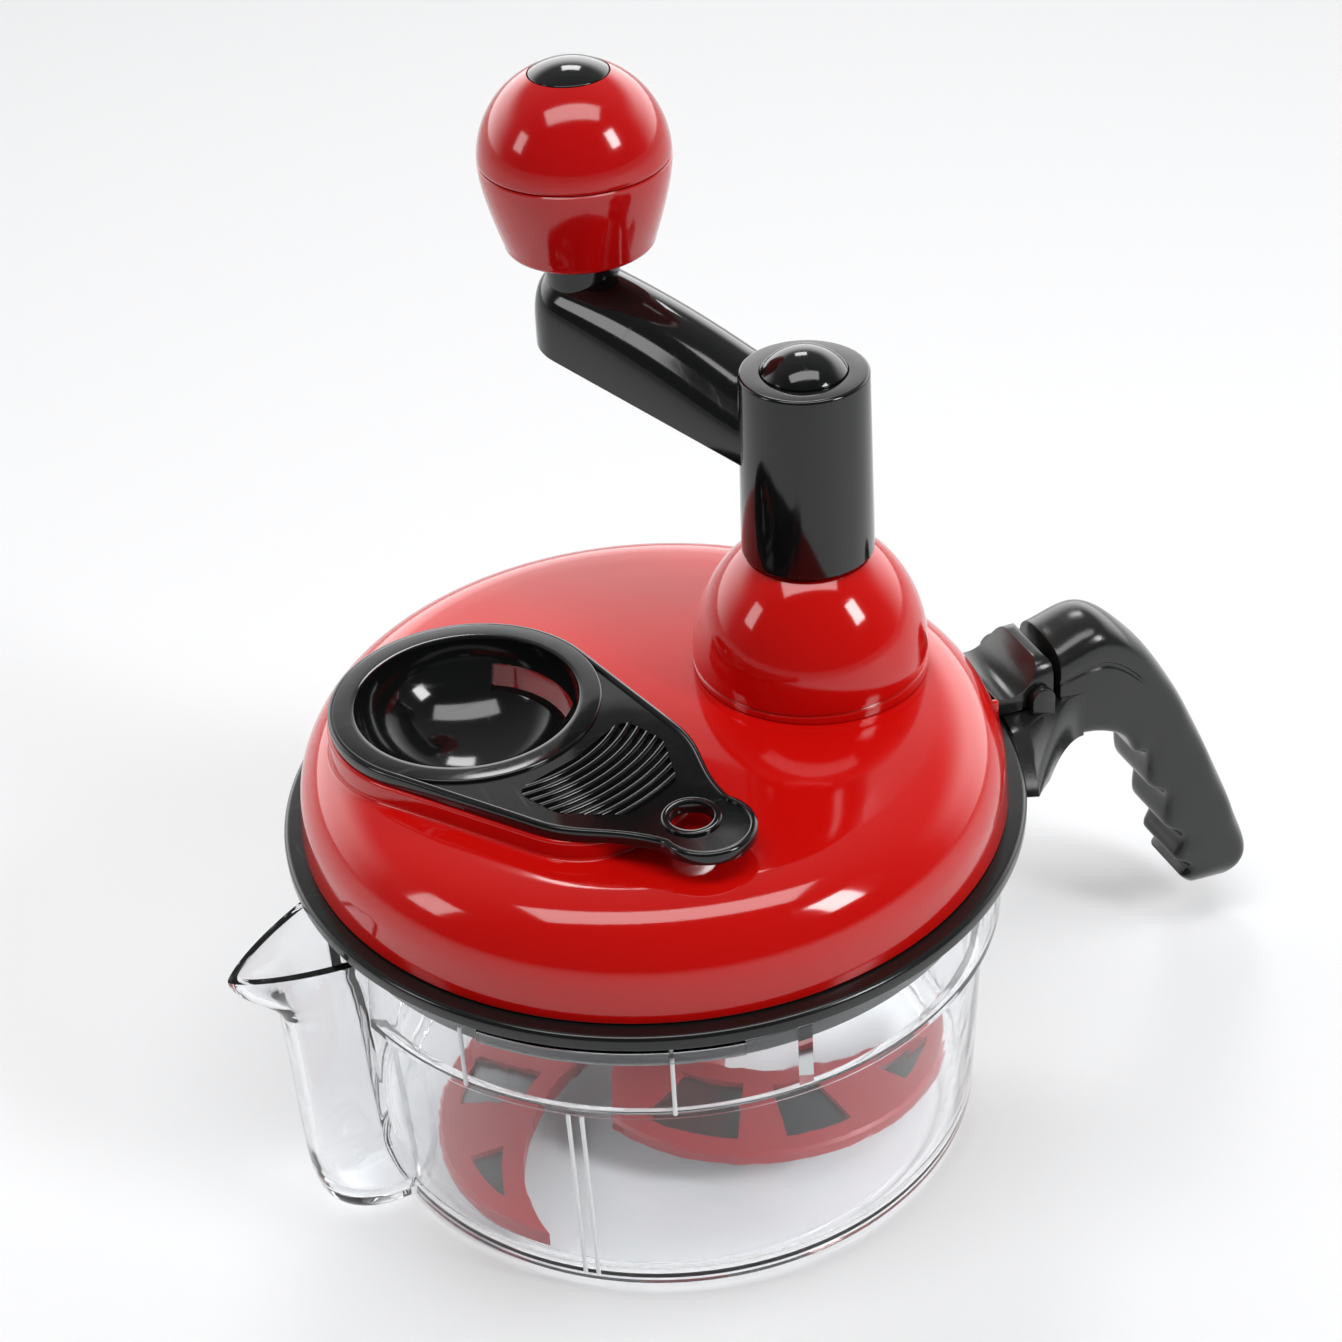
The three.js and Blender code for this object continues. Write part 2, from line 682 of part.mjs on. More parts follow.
function makeCollar() {
  const overRim = bowlRimHeight + seatGap;
  const body = turned([
    [bowlMouthRadius + seatGap, collarUnder],
    [collarRadius, collarUnder],
    ...arc([collarRadius - collarRound, collarTop - collarRound], collarRound, 0, 90,
      roundSteps),
    [bowlInnerMouth, collarTop],
    [bowlInnerMouth, overRim],
    [bowlMouthRadius + seatGap, overRim],
    [bowlMouthRadius + seatGap, collarUnder],
  ], largeSegments);
  const tongue = block([collarRadius - collarRound, tongueReach],
    [-tongueHalfWidth, tongueHalfWidth], [tongueLow, tongueHigh]);
  const holes = [-1, 1].map((side) => rod(handleScrewRadius + seatGap, tongueLow - overrun,
    handleScrewTop + seatGap, { x: handleScrewReach, y: side * handleScrewOffset }));
  return cut(join(body, tongue), ...holes);
}

// One section across the handle: a flat inner face, upright sides and a rounded back
function handleSection([innerX, innerZ], [outerX, outerZ], halfWidth) {
  const at = (share, y) => new THREE.Vector3(mix(innerX, outerX, share), y,
    mix(innerZ, outerZ, share));
  const floor = handleFloorShare * halfWidth;
  const points = [at(0, -floor), at(0, floor), at(handleFloorRiseShare, halfWidth)];
  const steps = curveSteps + 1;
  for (let i = 0; i <= steps; i += 1) {
    const angle = Math.PI * i / steps;
    const share = mix(handleRidgeShare, 1, Math.sin(angle) ** handleBackSquareShare);
    points.push(at(share, halfWidth * Math.cos(angle)));
  }
  points.push(at(handleFloorRiseShare, -halfWidth));
  return points;
}

function makeHandle() {
  const curve = (shares) => new THREE.CatmullRomCurve3(shares.map(handlePoint)
    .map(([x, z]) => new THREE.Vector3(x, 0, z)), false, 'centripetal');
  const inner = curve(handleInnerShares);
  const outer = curve(handleOuterShares);
  const tipShare = 1 - 1 / (handleInnerShares.length - 1);
  const sections = Array.from({ length: handleStations + 1 }, (_, i) => {
    const share = i / handleStations;
    const a = inner.getPoint(share);
    const b = outer.getPoint(share);
    const along = (share - scallopStartShare) / (scallopEndShare - scallopStartShare);
    const inGrip = along > 0 && along < 1;
    const wave = inGrip ? (1 - Math.cos(2 * Math.PI * scallopCount * along)) / 2 : 0;
    a.lerp(b, scallopDepth * wave / a.distanceTo(b));
    const beyond = Math.max(0, (share - tipShare) / (1 - tipShare));
    const halfWidth = beyond > 0 ? mix(handleTipHalfWidth, handleEndHalfWidth, beyond ** 2)
      : mix(handleHalfWidth, handleTipHalfWidth, share / tipShare);
    return handleSection([a.x, a.z], [b.x, b.z], halfWidth);
  });
  const grip = loft(sections);

  const flareInner = collarRadius + seatGap;
  const flareTop = collarTop;
  const tip = radians(flareSweep);
  const flareOuter = flareInner + flareTipWidth;
  const tipPoint = [flareOuter * Math.cos(tip), flareOuter * Math.sin(tip)];
  const pull = mix(flareOuter, flareReach, flarePullShare);
  const plan = new THREE.Shape();
  plan.absarc(0, 0, flareInner, tip, -tip, true);
  plan.lineTo(tipPoint[0], -tipPoint[1]);
  plan.quadraticCurveTo(pull, -handleHalfWidth, flareReach, -handleHalfWidth);
  plan.lineTo(flareReach, handleHalfWidth);
  plan.quadraticCurveTo(pull, handleHalfWidth, ...tipPoint);
  const side = outline([
    [spoutRootRadius, flareTop], [flareReach, flareTop], [flareReach, neckUnder],
    [handleScrewReach, neckUnder], [tipPoint[0], flareTipUnder],
    [spoutRootRadius, flareTipUnder],
  ]);
  const flare = prism(plan, neckUnder - overrun, flareTop, curveSteps + 2)
    .intersect(crossPrism(side, -bowlFootRadius, bowlFootRadius));
  const pocket = block([spoutRootRadius, tongueReach + seatGap],
    [-tongueHalfWidth - seatGap, tongueHalfWidth + seatGap],
    [tongueLow - seatGap, tongueHigh + seatGap]);
  const screwCuts = [-1, 1].flatMap((sign) => {
    const at = { x: handleScrewReach, y: sign * handleScrewOffset };
    return [
      rod(handleScrewRadius + seatGap, neckUnder - overrun, tongueLow, at),
      rod(handleScrewHeadRadius + seatGap, neckUnder - overrun, handleScrewSeat, at),
    ];
  });
  const earInner = latchHalfWidth + seatGap;
  const ears = [-1, 1].map((sign) => {
    const low = sign > 0 ? earInner : -earInner - latchEarThickness;
    const shape = new THREE.Shape();
    shape.moveTo(latchPinReach - latchEarRadius, flareTop - overrun / 2);
    shape.lineTo(latchPinReach + latchEarRadius, flareTop - overrun / 2);
    shape.lineTo(latchPinReach + latchEarRadius, latchPinHeight);
    shape.absarc(latchPinReach, latchPinHeight, latchEarRadius, 0, Math.PI, false);
    return crossPrism(shape, low, low + latchEarThickness);
  });
  const flareClear = rod(collarRadius + seatGap, neckUnder - overrun, latchCrown,
    { segments: largeSegments * 2 });
  const earWidth = earInner + latchEarThickness;
  const pinHole = acrossRod(latchPinRadius + seatGap, -earWidth - overrun, earWidth + overrun);
  return cut(join(grip, flare, ...ears), flareClear, pocket, pinHole, ...screwCuts);
}

// A rod along Y at the latch pin's place
function acrossRod(radius, low, high) {
  const geometry = new THREE.CylinderGeometry(radius, radius, high - low, smallSegments);
  return solid(geometry.translate(latchPinReach, (low + high) / 2, latchPinHeight));
}

// A pan-headed screw, its head's top or bottom face at the height it is given
function screw(radius, headRadius, headLow, headHigh, end, at) {
  return join(
    rod(headRadius, headLow, headHigh, at),
    rod(radius, Math.min((headLow + headHigh) / 2, end), Math.max((headLow + headHigh) / 2, end),
      { ...at, segments: smallSegments - 2 }));
}

function makeHandleScrew(side) {
  const headTop = handleScrewSeat - seatGap;
  return screw(handleScrewRadius, handleScrewHeadRadius, headTop - handleScrewHeadHeight,
    headTop, handleScrewTop, { x: handleScrewReach, y: side * handleScrewOffset });
}

function makeLatch() {
  const side = new THREE.Shape();
  side.moveTo(latchFront, latchUnder);
  side.lineTo(latchPinReach, latchUnder);
  side.lineTo(latchBack, latchUnder + latchHeelRise);
  side.lineTo(latchBack, latchCrown - latchLip / 2);
  side.lineTo(latchBack - latchLip / 2, latchCrown);
  side.lineTo(latchBack - latchLip, latchCrown);
  side.quadraticCurveTo((latchFront + latchBack) / 2, latchShoulder - latchPadDepth,
    latchFront, latchShoulder);
  const front = new THREE.Shape();
  front.moveTo(-latchHalfWidth, latchUnder - overrun);
  front.lineTo(latchHalfWidth, latchUnder - overrun);
  front.lineTo(latchHalfWidth, latchShoulder);
  front.quadraticCurveTo(latchHalfWidth, latchCrown, latchHalfWidth / 2, latchCrown);
  front.lineTo(-latchHalfWidth / 2, latchCrown);
  front.quadraticCurveTo(-latchHalfWidth, latchCrown, -latchHalfWidth, latchShoulder);
  const depth = latchBack - latchFront + 2 * overrun;
  const options = { depth, bevelEnabled: false, curveSegments: curveSteps };
  const frontSolid = solid(new THREE.ExtrudeGeometry(front, options)
    .rotateX(Math.PI / 2).rotateZ(Math.PI / 2).translate(latchFront - overrun, 0, 0));
  const body = crossPrism(side, -latchHalfWidth, latchHalfWidth).intersect(frontSolid);
  const bore = acrossRod(latchPinRadius + runGap, -latchHalfWidth - overrun,
    latchHalfWidth + overrun);
  return cut(body, bore);
}

function makeLatchPin() {
  const end = latchHalfWidth + seatGap + latchEarThickness;
  return acrossRod(latchPinRadius, -end, end);
}

// Lid cover, gear plate, dome and bearings, all about the bowl's axis

function lidOutside(raised) {
  return turned([
    [0, collarTop - overrun],
    [lidFootRadius, collarTop - overrun],
    [lidFootRadius, lidFoot + raised],
    ...arc([lidFlatRadius, lidShoulderHeight + raised], lidShoulderRound, 0, 90),
    [lidFlatRadius / 2, lidFlatHeight + lidCrownRise * lidCrownShare + raised],
    [0, lidTop + raised],
  ], largeSegments);
}

function lidInside() {
  return turned([
    [0, lidFoot - 2 * overrun],
    [lidFootRadius - lidWall, lidFoot - 2 * overrun],
    [lidFootRadius - lidWall, lidFoot],
    ...arc([lidFlatRadius, lidShoulderHeight], lidShoulderRound - lidWall, 0, 90, roundSteps),
    [lidFlatRadius / 2, lidFlatHeight + lidCrownRise * lidCrownShare - lidWall],
    [0, lidTop - lidWall],
  ], largeSegments);
}

// Teardrop seen from above, its round head at the origin and its tail along +X
function teardrop(inset, tail) {
  const head = cupRadius * headShare - inset;
  const shoulder = [cupRadius * shoulderAlongShare, cupRadius * shoulderWidthShare - inset];
  const away = Math.hypot(...shoulder);
  const touch = Math.atan2(shoulder[1], shoulder[0]) + Math.acos(head / away);
  const pullLength = cupRadius * shoulderPullShare;
  const pull = [pullLength * Math.sin(touch), -pullLength * Math.cos(touch)];
  const shape = new THREE.Shape();
  shape.absarc(0, 0, head, touch, -touch, false);
  shape.lineTo(shoulder[0], -shoulder[1]);
  const nearShoulder = [shoulder[0] + pull[0], shoulder[1] - pull[1]];
  if (tail === 'tab') {
    const angle = radians(tabAngle);
    const along = cupRadius * tabAlongShare;
    const radius = cupRadius * tabShare - inset;
    const tabPull = cupRadius * tabPullShare;
    const neck = [along + radius * Math.cos(angle), radius * Math.sin(angle)];
    const nearNeck = [neck[0] + tabPull * Math.cos(angle + Math.PI / 2),
      neck[1] - tabPull * Math.cos(angle)];
    shape.bezierCurveTo(nearShoulder[0], -nearShoulder[1], nearNeck[0], -nearNeck[1],
      neck[0], -neck[1]);
    shape.absarc(along, 0, radius, -angle, angle, false);
    shape.bezierCurveTo(...nearNeck, ...nearShoulder, ...shoulder);
  } else {
    const end = cupRadius * bossEndShare - inset;
    const endPull = cupRadius * bossEndPullShare;
    shape.bezierCurveTo(nearShoulder[0], -nearShoulder[1], end, -endPull, end, 0);
    shape.bezierCurveTo(end, endPull, ...nearShoulder, ...shoulder);
  }
  return shape;
}

const separatorPlace = {
  x: separatorReach * Math.cos(radians(separatorAzimuth)),
  y: separatorReach * Math.sin(radians(separatorAzimuth)),
  turn: separatorTurn,
};
const polar = (reach, azimuth) => ({
  x: reach * Math.cos(radians(azimuth)),
  y: reach * Math.sin(radians(azimuth)),
});

function makeLidCover() {
  const bossOuter = moved(prism(teardrop(bossInset, 'boss'), lidShoulderHeight,
    separatorSeat), separatorPlace);
  const bossInner = moved(prism(teardrop(bossInset + bossWall, 'boss'),
    lidShoulderHeight - overrun, separatorSeat - bossDeck), separatorPlace);
  const chuteFoot = plateTop + seatGap;
  const chuteAt = { x: separatorPlace.x, y: separatorPlace.y, segments: mediumSegments };
  const chute = rod(chuteRadius + chuteWall, chuteFoot, separatorSeat - bossDeck / 2, chuteAt);
  const chuteBore = rod(chuteRadius, chuteFoot - overrun, separatorSeat + overrun, chuteAt);
  const roof = lidOutside(0);
  const posts = screwPostAzimuths.map((azimuth) => rod(screwPostRadius, plateTop + seatGap,
    lidFlatHeight, polar(screwPostReach, azimuth)).intersect(roof));
  const pilots = screwPostAzimuths.map((azimuth) => rod(plateScrewRadius + seatGap,
    plateTop - overrun, plateTop + plateScrewLength, polar(screwPostReach, azimuth)));
  const pinionBoss = rod(pinionTopRadius + runGap + lidBossWall, gearTop + overrun,
    lidTop - lidWall / 2, { segments: smallSegments });
  const pinionBore = rod(pinionTopRadius + runGap, gearTop, gearTop + pinionTopLength + runGap
    + overrun);
  const shaftHole = rod(bushRadius + seatGap + domeSleeveWall + seatGap,
    gearTop + overrun, lidTop + overrun,
    { x: crankReach, segments: mediumSegments });
  const screwHoles = domePostAzimuths.map((azimuth) => {
    const place = polar(domePostReach, azimuth);
    return rod(domeScrewRadius + seatGap, gearTop + overrun, lidTop + overrun,
      { x: crankReach + place.x, y: place.y, segments: smallSegments - 2 });
  });
  const catchRibs = [-1, 1].map((side) => {
    const middle = side * catchRibSpacing / 2;
    return block([lidShoulderRadius - lidWall, lidFootRadius + catchRibProud],
      [middle - catchRibWidth / 2, middle + catchRibWidth / 2],
      [lidFoot, lidFoot + catchRibHeight]);
  });
  const room = lidInside();
  const underFoot = block([-collarRadius, collarRadius], [-collarRadius, collarRadius],
    [0, lidFoot]);
  const hollow = cut(join(cut(roof, underFoot), bossOuter), room, bossInner);
  const trimmedRibs = catchRibs.map((rib) => cut(rib, room));
  const dressed = join(hollow, chute, pinionBoss, ...posts, ...trimmedRibs);
  return cut(dressed, chuteBore, pinionBore, shaftHole, ...pilots, ...screwHoles);
}

function makePlugRing() {
  const grooveFoot = plugFoot + sealAbovePlugFoot;
  const grooveTop = grooveFoot + sealHeight;
  const ringTop = plateUnder - seatGap;
  return turned([
    [plugRadius - plugWall, plugFoot],
    [plugRadius, plugFoot],
    [plugRadius, grooveFoot],
    [plugRadius - sealDepth, grooveFoot],
    [plugRadius - sealDepth, grooveTop],
    [plugRadius, grooveTop],
    [plugRadius, ringTop],
    [plugRadius - plugWall, ringTop],
    [plugRadius - plugWall, plugFoot],
  ], largeSegments);
}

function makeGearPlate() {
  const plate = rod(plugRadius, plateUnder, plateTop, { segments: largeSegments });
  const chuteHole = rod(chuteRadius, plateUnder - overrun, plateTop + overrun,
    { x: separatorPlace.x, y: separatorPlace.y, segments: mediumSegments });
  const tubeTop = gearBottom - 2 * seatGap - bushFlangeThickness;
  const tube = rod(pinionBushRadius + seatGap + pinionTubeWall, pinionTubeFoot, tubeTop,
    { segments: mediumSegments });
  const tubeBore = rod(pinionBushRadius + seatGap, pinionTubeFoot - overrun,
    tubeTop + overrun, { segments: mediumSegments });
  const bearingTop = gearBottom - 2 * seatGap - washerThickness;
  const bearing = rod(footBearingRadius, plateTop - overrun / 2, bearingTop,
    { x: crankReach, segments: mediumSegments });
  const bearingBore = rod(shaftJournalRadius + runGap, plateTop - shaftSink,
    bearingTop + overrun, { x: crankReach });
  const screwHoles = screwPostAzimuths.map((azimuth) => rod(plateScrewRadius + seatGap,
    plateUnder - overrun, plateTop + overrun, polar(screwPostReach, azimuth)));
  return cut(join(plate, tube, bearing), chuteHole, tubeBore, bearingBore, ...screwHoles);
}

function makeSeal() {
  const low = plugFoot + sealAbovePlugFoot + seatGap;
  const high = plugFoot + sealAbovePlugFoot + sealHeight - seatGap;
  return ring(plugRadius - sealDepth + seatGap, plugRadius + sealProud, low, high,
    largeSegments);
}

function makePlateScrew(azimuth) {
  const headTop = plateUnder - seatGap;
  return screw(plateScrewRadius, plateScrewHeadRadius, headTop - plateScrewHeadHeight, headTop,
    plateTop + plateScrewLength - seatGap, polar(screwPostReach, azimuth));
}

// The dome's own axis is the crank's, so it is made there and trimmed by the lid it stands on
function makeDome() {
  const shell = (wall, foot) => {
    const [a, b] = [domeRadius - wall, domeHalfHeight - wall];
    const topAngle = Math.asin(Math.min(1, (domeTop - wall - domeCentreHeight) / b));
    const points = Array.from({ length: curveSteps + 2 }, (_, i) => {
      const angle = topAngle * i / (curveSteps + 1);
      return [a * Math.cos(angle), domeCentreHeight + b * Math.sin(angle)];
    });
    return { points, foot: [[0, foot], [a, foot]], top: [0, domeTop - wall] };
  };
  const low = lidShoulderHeight;
  const outer = shell(0, low);
  const grooved = [
    ...outer.foot,
    [domeRadius, domeCentreHeight - domeGrooveWidth],
    [domeRadius - domeGrooveDepth, domeCentreHeight - domeGrooveWidth / 2],
    ...outer.points,
    outer.top,
  ];
  const inner = shell(domeWall, low - overrun);
  const body = cut(turned(grooved, largeSegments - smallSegments),
    turned([...inner.foot, ...inner.points, inner.top], mediumSegments));
  const sleeveRadius = bushRadius + seatGap + domeSleeveWall;
  const sleeve = rod(sleeveRadius, lidShoulderHeight, domeTop - domeWall / 2,
    { segments: mediumSegments });
  const roofOfDome = turned([...outer.foot, ...outer.points, outer.top], mediumSegments);
  const posts = domePostAzimuths.map((azimuth) => rod(domePostRadius, lidShoulderHeight,
    domeTop, { ...polar(domePostReach, azimuth), segments: smallSegments }).intersect(roofOfDome));
  const lid = moved(lidOutside(seatGap), { x: -crankReach });
  const trimmed = cut(join(body, ...posts), lid);
  const sleeveFoot = lidFlatHeight - lidWall;
  const whole = join(trimmed, cut(sleeve, block([-collarRadius, collarRadius],
    [-collarRadius, collarRadius], [0, sleeveFoot])));
  const pilots = domePostAzimuths.map((azimuth) => rod(domeScrewRadius + seatGap,
    lidShoulderHeight, lidTop + domeScrewLength,
    { ...polar(domePostReach, azimuth), segments: smallSegments - 2 }));
  const bore = rod(bushRadius + seatGap, lidShoulderHeight - overrun, domeTop + overrun,
    { segments: mediumSegments });
  return cut(whole, bore, ...pilots);
}

function makeDomeScrew(azimuth) {
  const headTop = lidFlatHeight - lidWall - seatGap;
  return screw(domeScrewRadius, domeScrewHeadRadius, headTop - domeScrewHeadHeight, headTop,
    lidTop + domeScrewLength - seatGap, polar(domePostReach, azimuth));
}

function flangedBush(bore, low, flangeLow, flangeHigh) {
  return turned([
    [bore, low],
    [bore + bushWall, low],
    [bore + bushWall, flangeLow],
    [bore + bushWall + bushFlangeWidth, flangeLow],
    [bore + bushWall + bushFlangeWidth, flangeHigh],
    [bore, flangeHigh],
    [bore, low],
  ], mediumSegments);
}

// Gears

function gearOutline(teeth) {
  const pitch = gearModule * teeth / 2;
  const base = pitch * Math.cos(radians(pressureAngle));
  const tip = pitch + addendumShare * gearModule;
  const root = pitch - dedendumShare * gearModule;
  const involute = (angle) => Math.tan(angle) - angle;
  const halfPitchTooth = Math.PI / (2 * teeth) - backlash / (4 * pitch);
  const halfTooth = (radius) => halfPitchTooth + involute(radians(pressureAngle))
    - involute(Math.acos(Math.min(1, base / radius)));
  const start = Math.max(base, root);
  const flank = Array.from({ length: flankSteps + 1 }, (_, i) => {
    const radius = mix(start, tip, i / flankSteps);
    return [radius, halfTooth(radius)];
  });
  if (base > root + runGap) flank.unshift([root, halfTooth(base)]);
  const points = [];
  for (let tooth = 0; tooth < teeth; tooth += 1) {
    const middle = 2 * Math.PI * tooth / teeth;
    const add = ([radius, angle], side) => points.push([
      radius * Math.cos(middle + side * angle), radius * Math.sin(middle + side * angle)]);
    flank.forEach((point) => add(point, -1));
    [...flank].reverse().forEach((point) => add(point, 1));
  }
  return outline(points);
}

function makeDriveGear() {
  const pitch = gearModule * crankTeeth / 2;
  const rimInner = pitch - dedendumShare * gearModule - gearRimWidth;
  const wheel = prism(gearOutline(crankTeeth), gearBottom, gearTop);
  const recesses = [
    ring(gearHubRadius, rimInner, gearTop - gearRecess, gearTop + overrun, mediumSegments),
    ring(gearHubRadius, rimInner, gearBottom - overrun, gearBottom + gearRecess,
      mediumSegments),
  ];
  const middle = (gearHubRadius + rimInner) / 2;
  const holes = Array.from({ length: gearHoleCount }, (_, i) => rod(gearHoleRadius,
    gearBottom - overrun, gearTop + overrun, polar(middle, 360 * i / gearHoleCount)));
  const socket = prism(hexagon(shaftHexAcross + 2 * seatGap), gearBottom - overrun,
    gearTop + overrun);
  return cut(wheel, ...recesses, ...holes, socket);
}

function makePinion() {
  const teeth = moved(prism(gearOutline(pinionTeeth), gearBottom, gearTop),
    { turn: 180 / pinionTeeth });
  const journal = rod(pinionJournalRadius, pinionTubeFoot, gearBottom + gearRecess,
    { segments: mediumSegments });
  const topPin = rod(pinionTopRadius, gearTop - gearRecess, gearTop + pinionTopLength);
  const stem = prism(hexagon(pinionHexAcross), pinionHexFoot, pinionTubeFoot + gearRecess);
  return join(teeth, journal, topPin, stem);
}

// Crank: shaft, arm with its hub, and knob. These are made about the crank's own axis.

function makeShaft() {
  const journal = rod(shaftJournalRadius, shaftFoot, gearBottom, {});
  const lowerHex = prism(hexagon(shaftHexAcross), gearBottom - seatGap, gearTop + seatGap);
  const barrel = rod(shaftRadius, gearTop + seatGap, hubFoot, { segments: mediumSegments });
  const upperHex = prism(hexagon(shaftHexAcross), hubFoot - seatGap, shaftHexTop);
  const thread = rod(crankScrewRadius + seatGap, shaftHexTop - shaftScrewDepth,
    shaftHexTop + overrun);
  return cut(join(journal, lowerHex, barrel, upperHex), thread);
}

// One section across the arm: flat bottom, upright sides and a rounded crown
function armSection(along, halfWidth, low, side, crown) {
  const points = [
    new THREE.Vector3(along, -armFloorShare * halfWidth, low),
    new THREE.Vector3(along, armFloorShare * halfWidth, low),
    new THREE.Vector3(along, halfWidth, mix(low, side, armFloorRiseShare)),
  ];
  for (let i = 0; i <= armSectionSteps; i += 1) {
    const angle = Math.PI * i / armSectionSteps;
    points.push(new THREE.Vector3(along, halfWidth * Math.cos(angle),
      mix(side, crown, Math.sin(angle) ** armCrownSquareShare)));
  }
  points.push(new THREE.Vector3(along, -halfWidth, mix(low, side, armFloorRiseShare)));
  return points;
}

function makeArm() {
  const end = armLength + armHalfWidth;
  const sections = Array.from({ length: armStations + 1 }, (_, i) => {
    const straight = armStations - curveSteps;
    const along = i <= straight ? armLength * i / straight
      : armLength + armHalfWidth * Math.sin(Math.PI / 2 * (i - straight) / curveSteps);
    const share = along / armLength;
    const width = mix(armHubHalfWidth, armHalfWidth, Math.min(1, share));
    const past = Math.max(0, along - armLength) / armHalfWidth;
    const round = Math.sqrt(Math.max(0, 1 - past ** 2));
    const low = hubTop + mix(armAtHub.under, armAtKnob.under, along / end);
    const side = hubTop + mix(armAtHub.side, armAtKnob.side, along / end);
    const rise = Math.min(1, share / armRiseShare);
    const crown = hubTop + mix(armAtHub.crown, armAtKnob.crown, rise);
    const endLow = mix(low, side, armEndLowShare);
    const dropped = mix(endLow, crown, round ** armEndSquareShare);
    return armSection(along, Math.max(width * round, seatGap), low, Math.min(side, dropped),
      dropped);
  });
  const lever = loft(sections);
  const hub = turned([
    [0, hubFoot],
    [hubFootRadius, hubFoot],
    [hubTopRadius, hubTop - hubTopRound],
    [hubTopRadius - hubTopRound, hubTop],
    [0, hubTop],
  ], mediumSegments);
  const neck = rod(neckRadius, hubTop + armAtKnob.side, neckTop,
    { x: armLength, segments: mediumSegments });
  const socket = prism(hexagon(shaftHexAcross + 2 * seatGap), hubFoot - overrun,
    shaftHexTop + seatGap);
  const screwHole = rod(crankScrewRadius + seatGap, shaftHexTop, crankScrewSeat + overrun);
  const screwWell = rod(crankScrewHeadRadius + seatGap, crankScrewSeat, capSeat + overrun,
    { segments: mediumSegments });
  const capWell = rod(capRadius + seatGap, capSeat, hubTop + overrun,
    { segments: mediumSegments });
  const pinWell = rod(knobPinRadius + seatGap, knobPinFoot - seatGap, neckTop + overrun,
    { x: armLength });
  return cut(join(hub, lever, neck), socket, screwHole, screwWell, capWell, pinWell);
}

// A disc whose top is part of a ball
function domedCap(radius, foot, edge, rise) {
  const ballRadius = (radius ** 2 + rise ** 2) / (2 * rise);
  const edgeAngle = THREE.MathUtils.radToDeg(Math.acos(radius / ballRadius));
  return turned([
    [0, foot],
    [radius, foot],
    ...arc([0, edge + rise - ballRadius], ballRadius, edgeAngle, 90),
  ], mediumSegments);
}

function makeHubCap() {
  const foot = capSeat + seatGap;
  return domedCap(capRadius, foot, hubTop + capEdgeRise, capRise - capEdgeRise);
}

function makeCrankScrew() {
  const head = crankScrewSeat + seatGap;
  return screw(crankScrewRadius, crankScrewHeadRadius, head, head + crankScrewHeadHeight,
    shaftHexTop - shaftScrewDepth + seatGap, {});
}

function makeKnobPin() {
  const head = knobShelf + seatGap;
  return join(
    rod(knobPinRadius, knobPinFoot, head + knobPinHeadHeight / 2),
    rod(knobPinHeadRadius, head, head + knobPinHeadHeight, { segments: mediumSegments }));
}

function makeKnobLower() {
  const bore = knobPinRadius + runGap;
  const seam = knobSeamHeight - seatGap / 2;
  const wallAt = (inset) => {
    const foot = [knobFootRadius - inset, knobFoot + knobFootRound + inset];
    const bulge = [knobRadius - inset, mix(knobFoot, seam, knobBulgeShare)];
    const points = new THREE.QuadraticBezierCurve(
      new THREE.Vector2(...foot), new THREE.Vector2(...bulge),
      new THREE.Vector2(knobRadius - inset, seam)).getPoints(curveSteps);
    return points.map((p) => [p.x, p.y]);
  };
  const outer = wallAt(0);
  const inner = wallAt(knobWall).reverse();
  const cavityFloor = knobFoot + knobWall + knobFootRound;
  return turned([
    [bore, knobFoot],
    [knobFootRadius - knobFootRound, knobFoot],
    ...outer,
    ...inner,
    [bore + knobTubeWall, cavityFloor],
    [bore + knobTubeWall, seam],
    [bore, seam],
    [bore, knobFoot],
  ], mediumSegments);
}

function makeKnobUpper() {
  const bore = knobPinRadius + runGap;
  const seam = knobSeamHeight + seatGap / 2;
  const wellRadius = knobCapRadius + seatGap;
  const wellAngle = THREE.MathUtils.radToDeg(Math.acos(wellRadius / knobRadius));
  const underShelf = knobShelf - knobShelfThickness;
  const inside = knobRadius - knobWall;
  const shelfAngle = THREE.MathUtils.radToDeg(
    Math.asin((underShelf - knobSeamHeight) / inside));
  const lift = ([radius, height]) => [radius, Math.max(height, seam)];
  return turned([
    ...arc([0, knobSeamHeight], knobRadius, 0, wellAngle).map(lift),
    [wellRadius, knobShelf],
    [bore, knobShelf],
    [bore, underShelf],
    ...arc([0, knobSeamHeight], inside, shelfAngle, 0).map(lift),
    [knobRadius, seam],
  ], mediumSegments);
}

function makeKnobCap() {
  return domedCap(knobCapRadius, knobCapFoot, knobCapFoot + knobCapEdge, knobCapRise);
}

// Blades, guards and their hub, made about the bowl's axis with the tip along +X

function crescent(grow, low, high) {
  const disc = ([x, y], radius, from, to) => rod(radius, from, to,
    { x: x * bladeReach, y: y * bladeReach, segments: largeSegments });
  const { outerMiddle, outerRadius, innerMiddle, heel } = crescentShares;
  const outer = disc(outerMiddle, outerRadius * bladeReach + grow, low, high);
  const notch = disc(innerMiddle, bladeNotchRadius - grow, low - overrun, high + overrun);
  const bluntTip = rod(bladeReach - bladeTipBlunt + grow, low, high,
    { segments: largeSegments });
  const heelCut = block([-2 * bladeReach, heel * bladeReach - grow],
    [-2 * bladeReach, 2 * bladeReach], [low - overrun, high + overrun]);
  return cut(outer.intersect(bluntTip), notch, heelCut);
}

function bladeBlank(grow, low, high) {
  const eye = rod(bladeEyeRadius + grow, low, high, { segments: mediumSegments });
  const bore = rod(bladeEyeBore - grow, low - overrun, high + overrun);
  return cut(join(eye, crescent(grow, low, high)), bore);
}

function makeBlade() {
  return bladeBlank(0, -bladeThickness / 2, bladeThickness / 2);
}

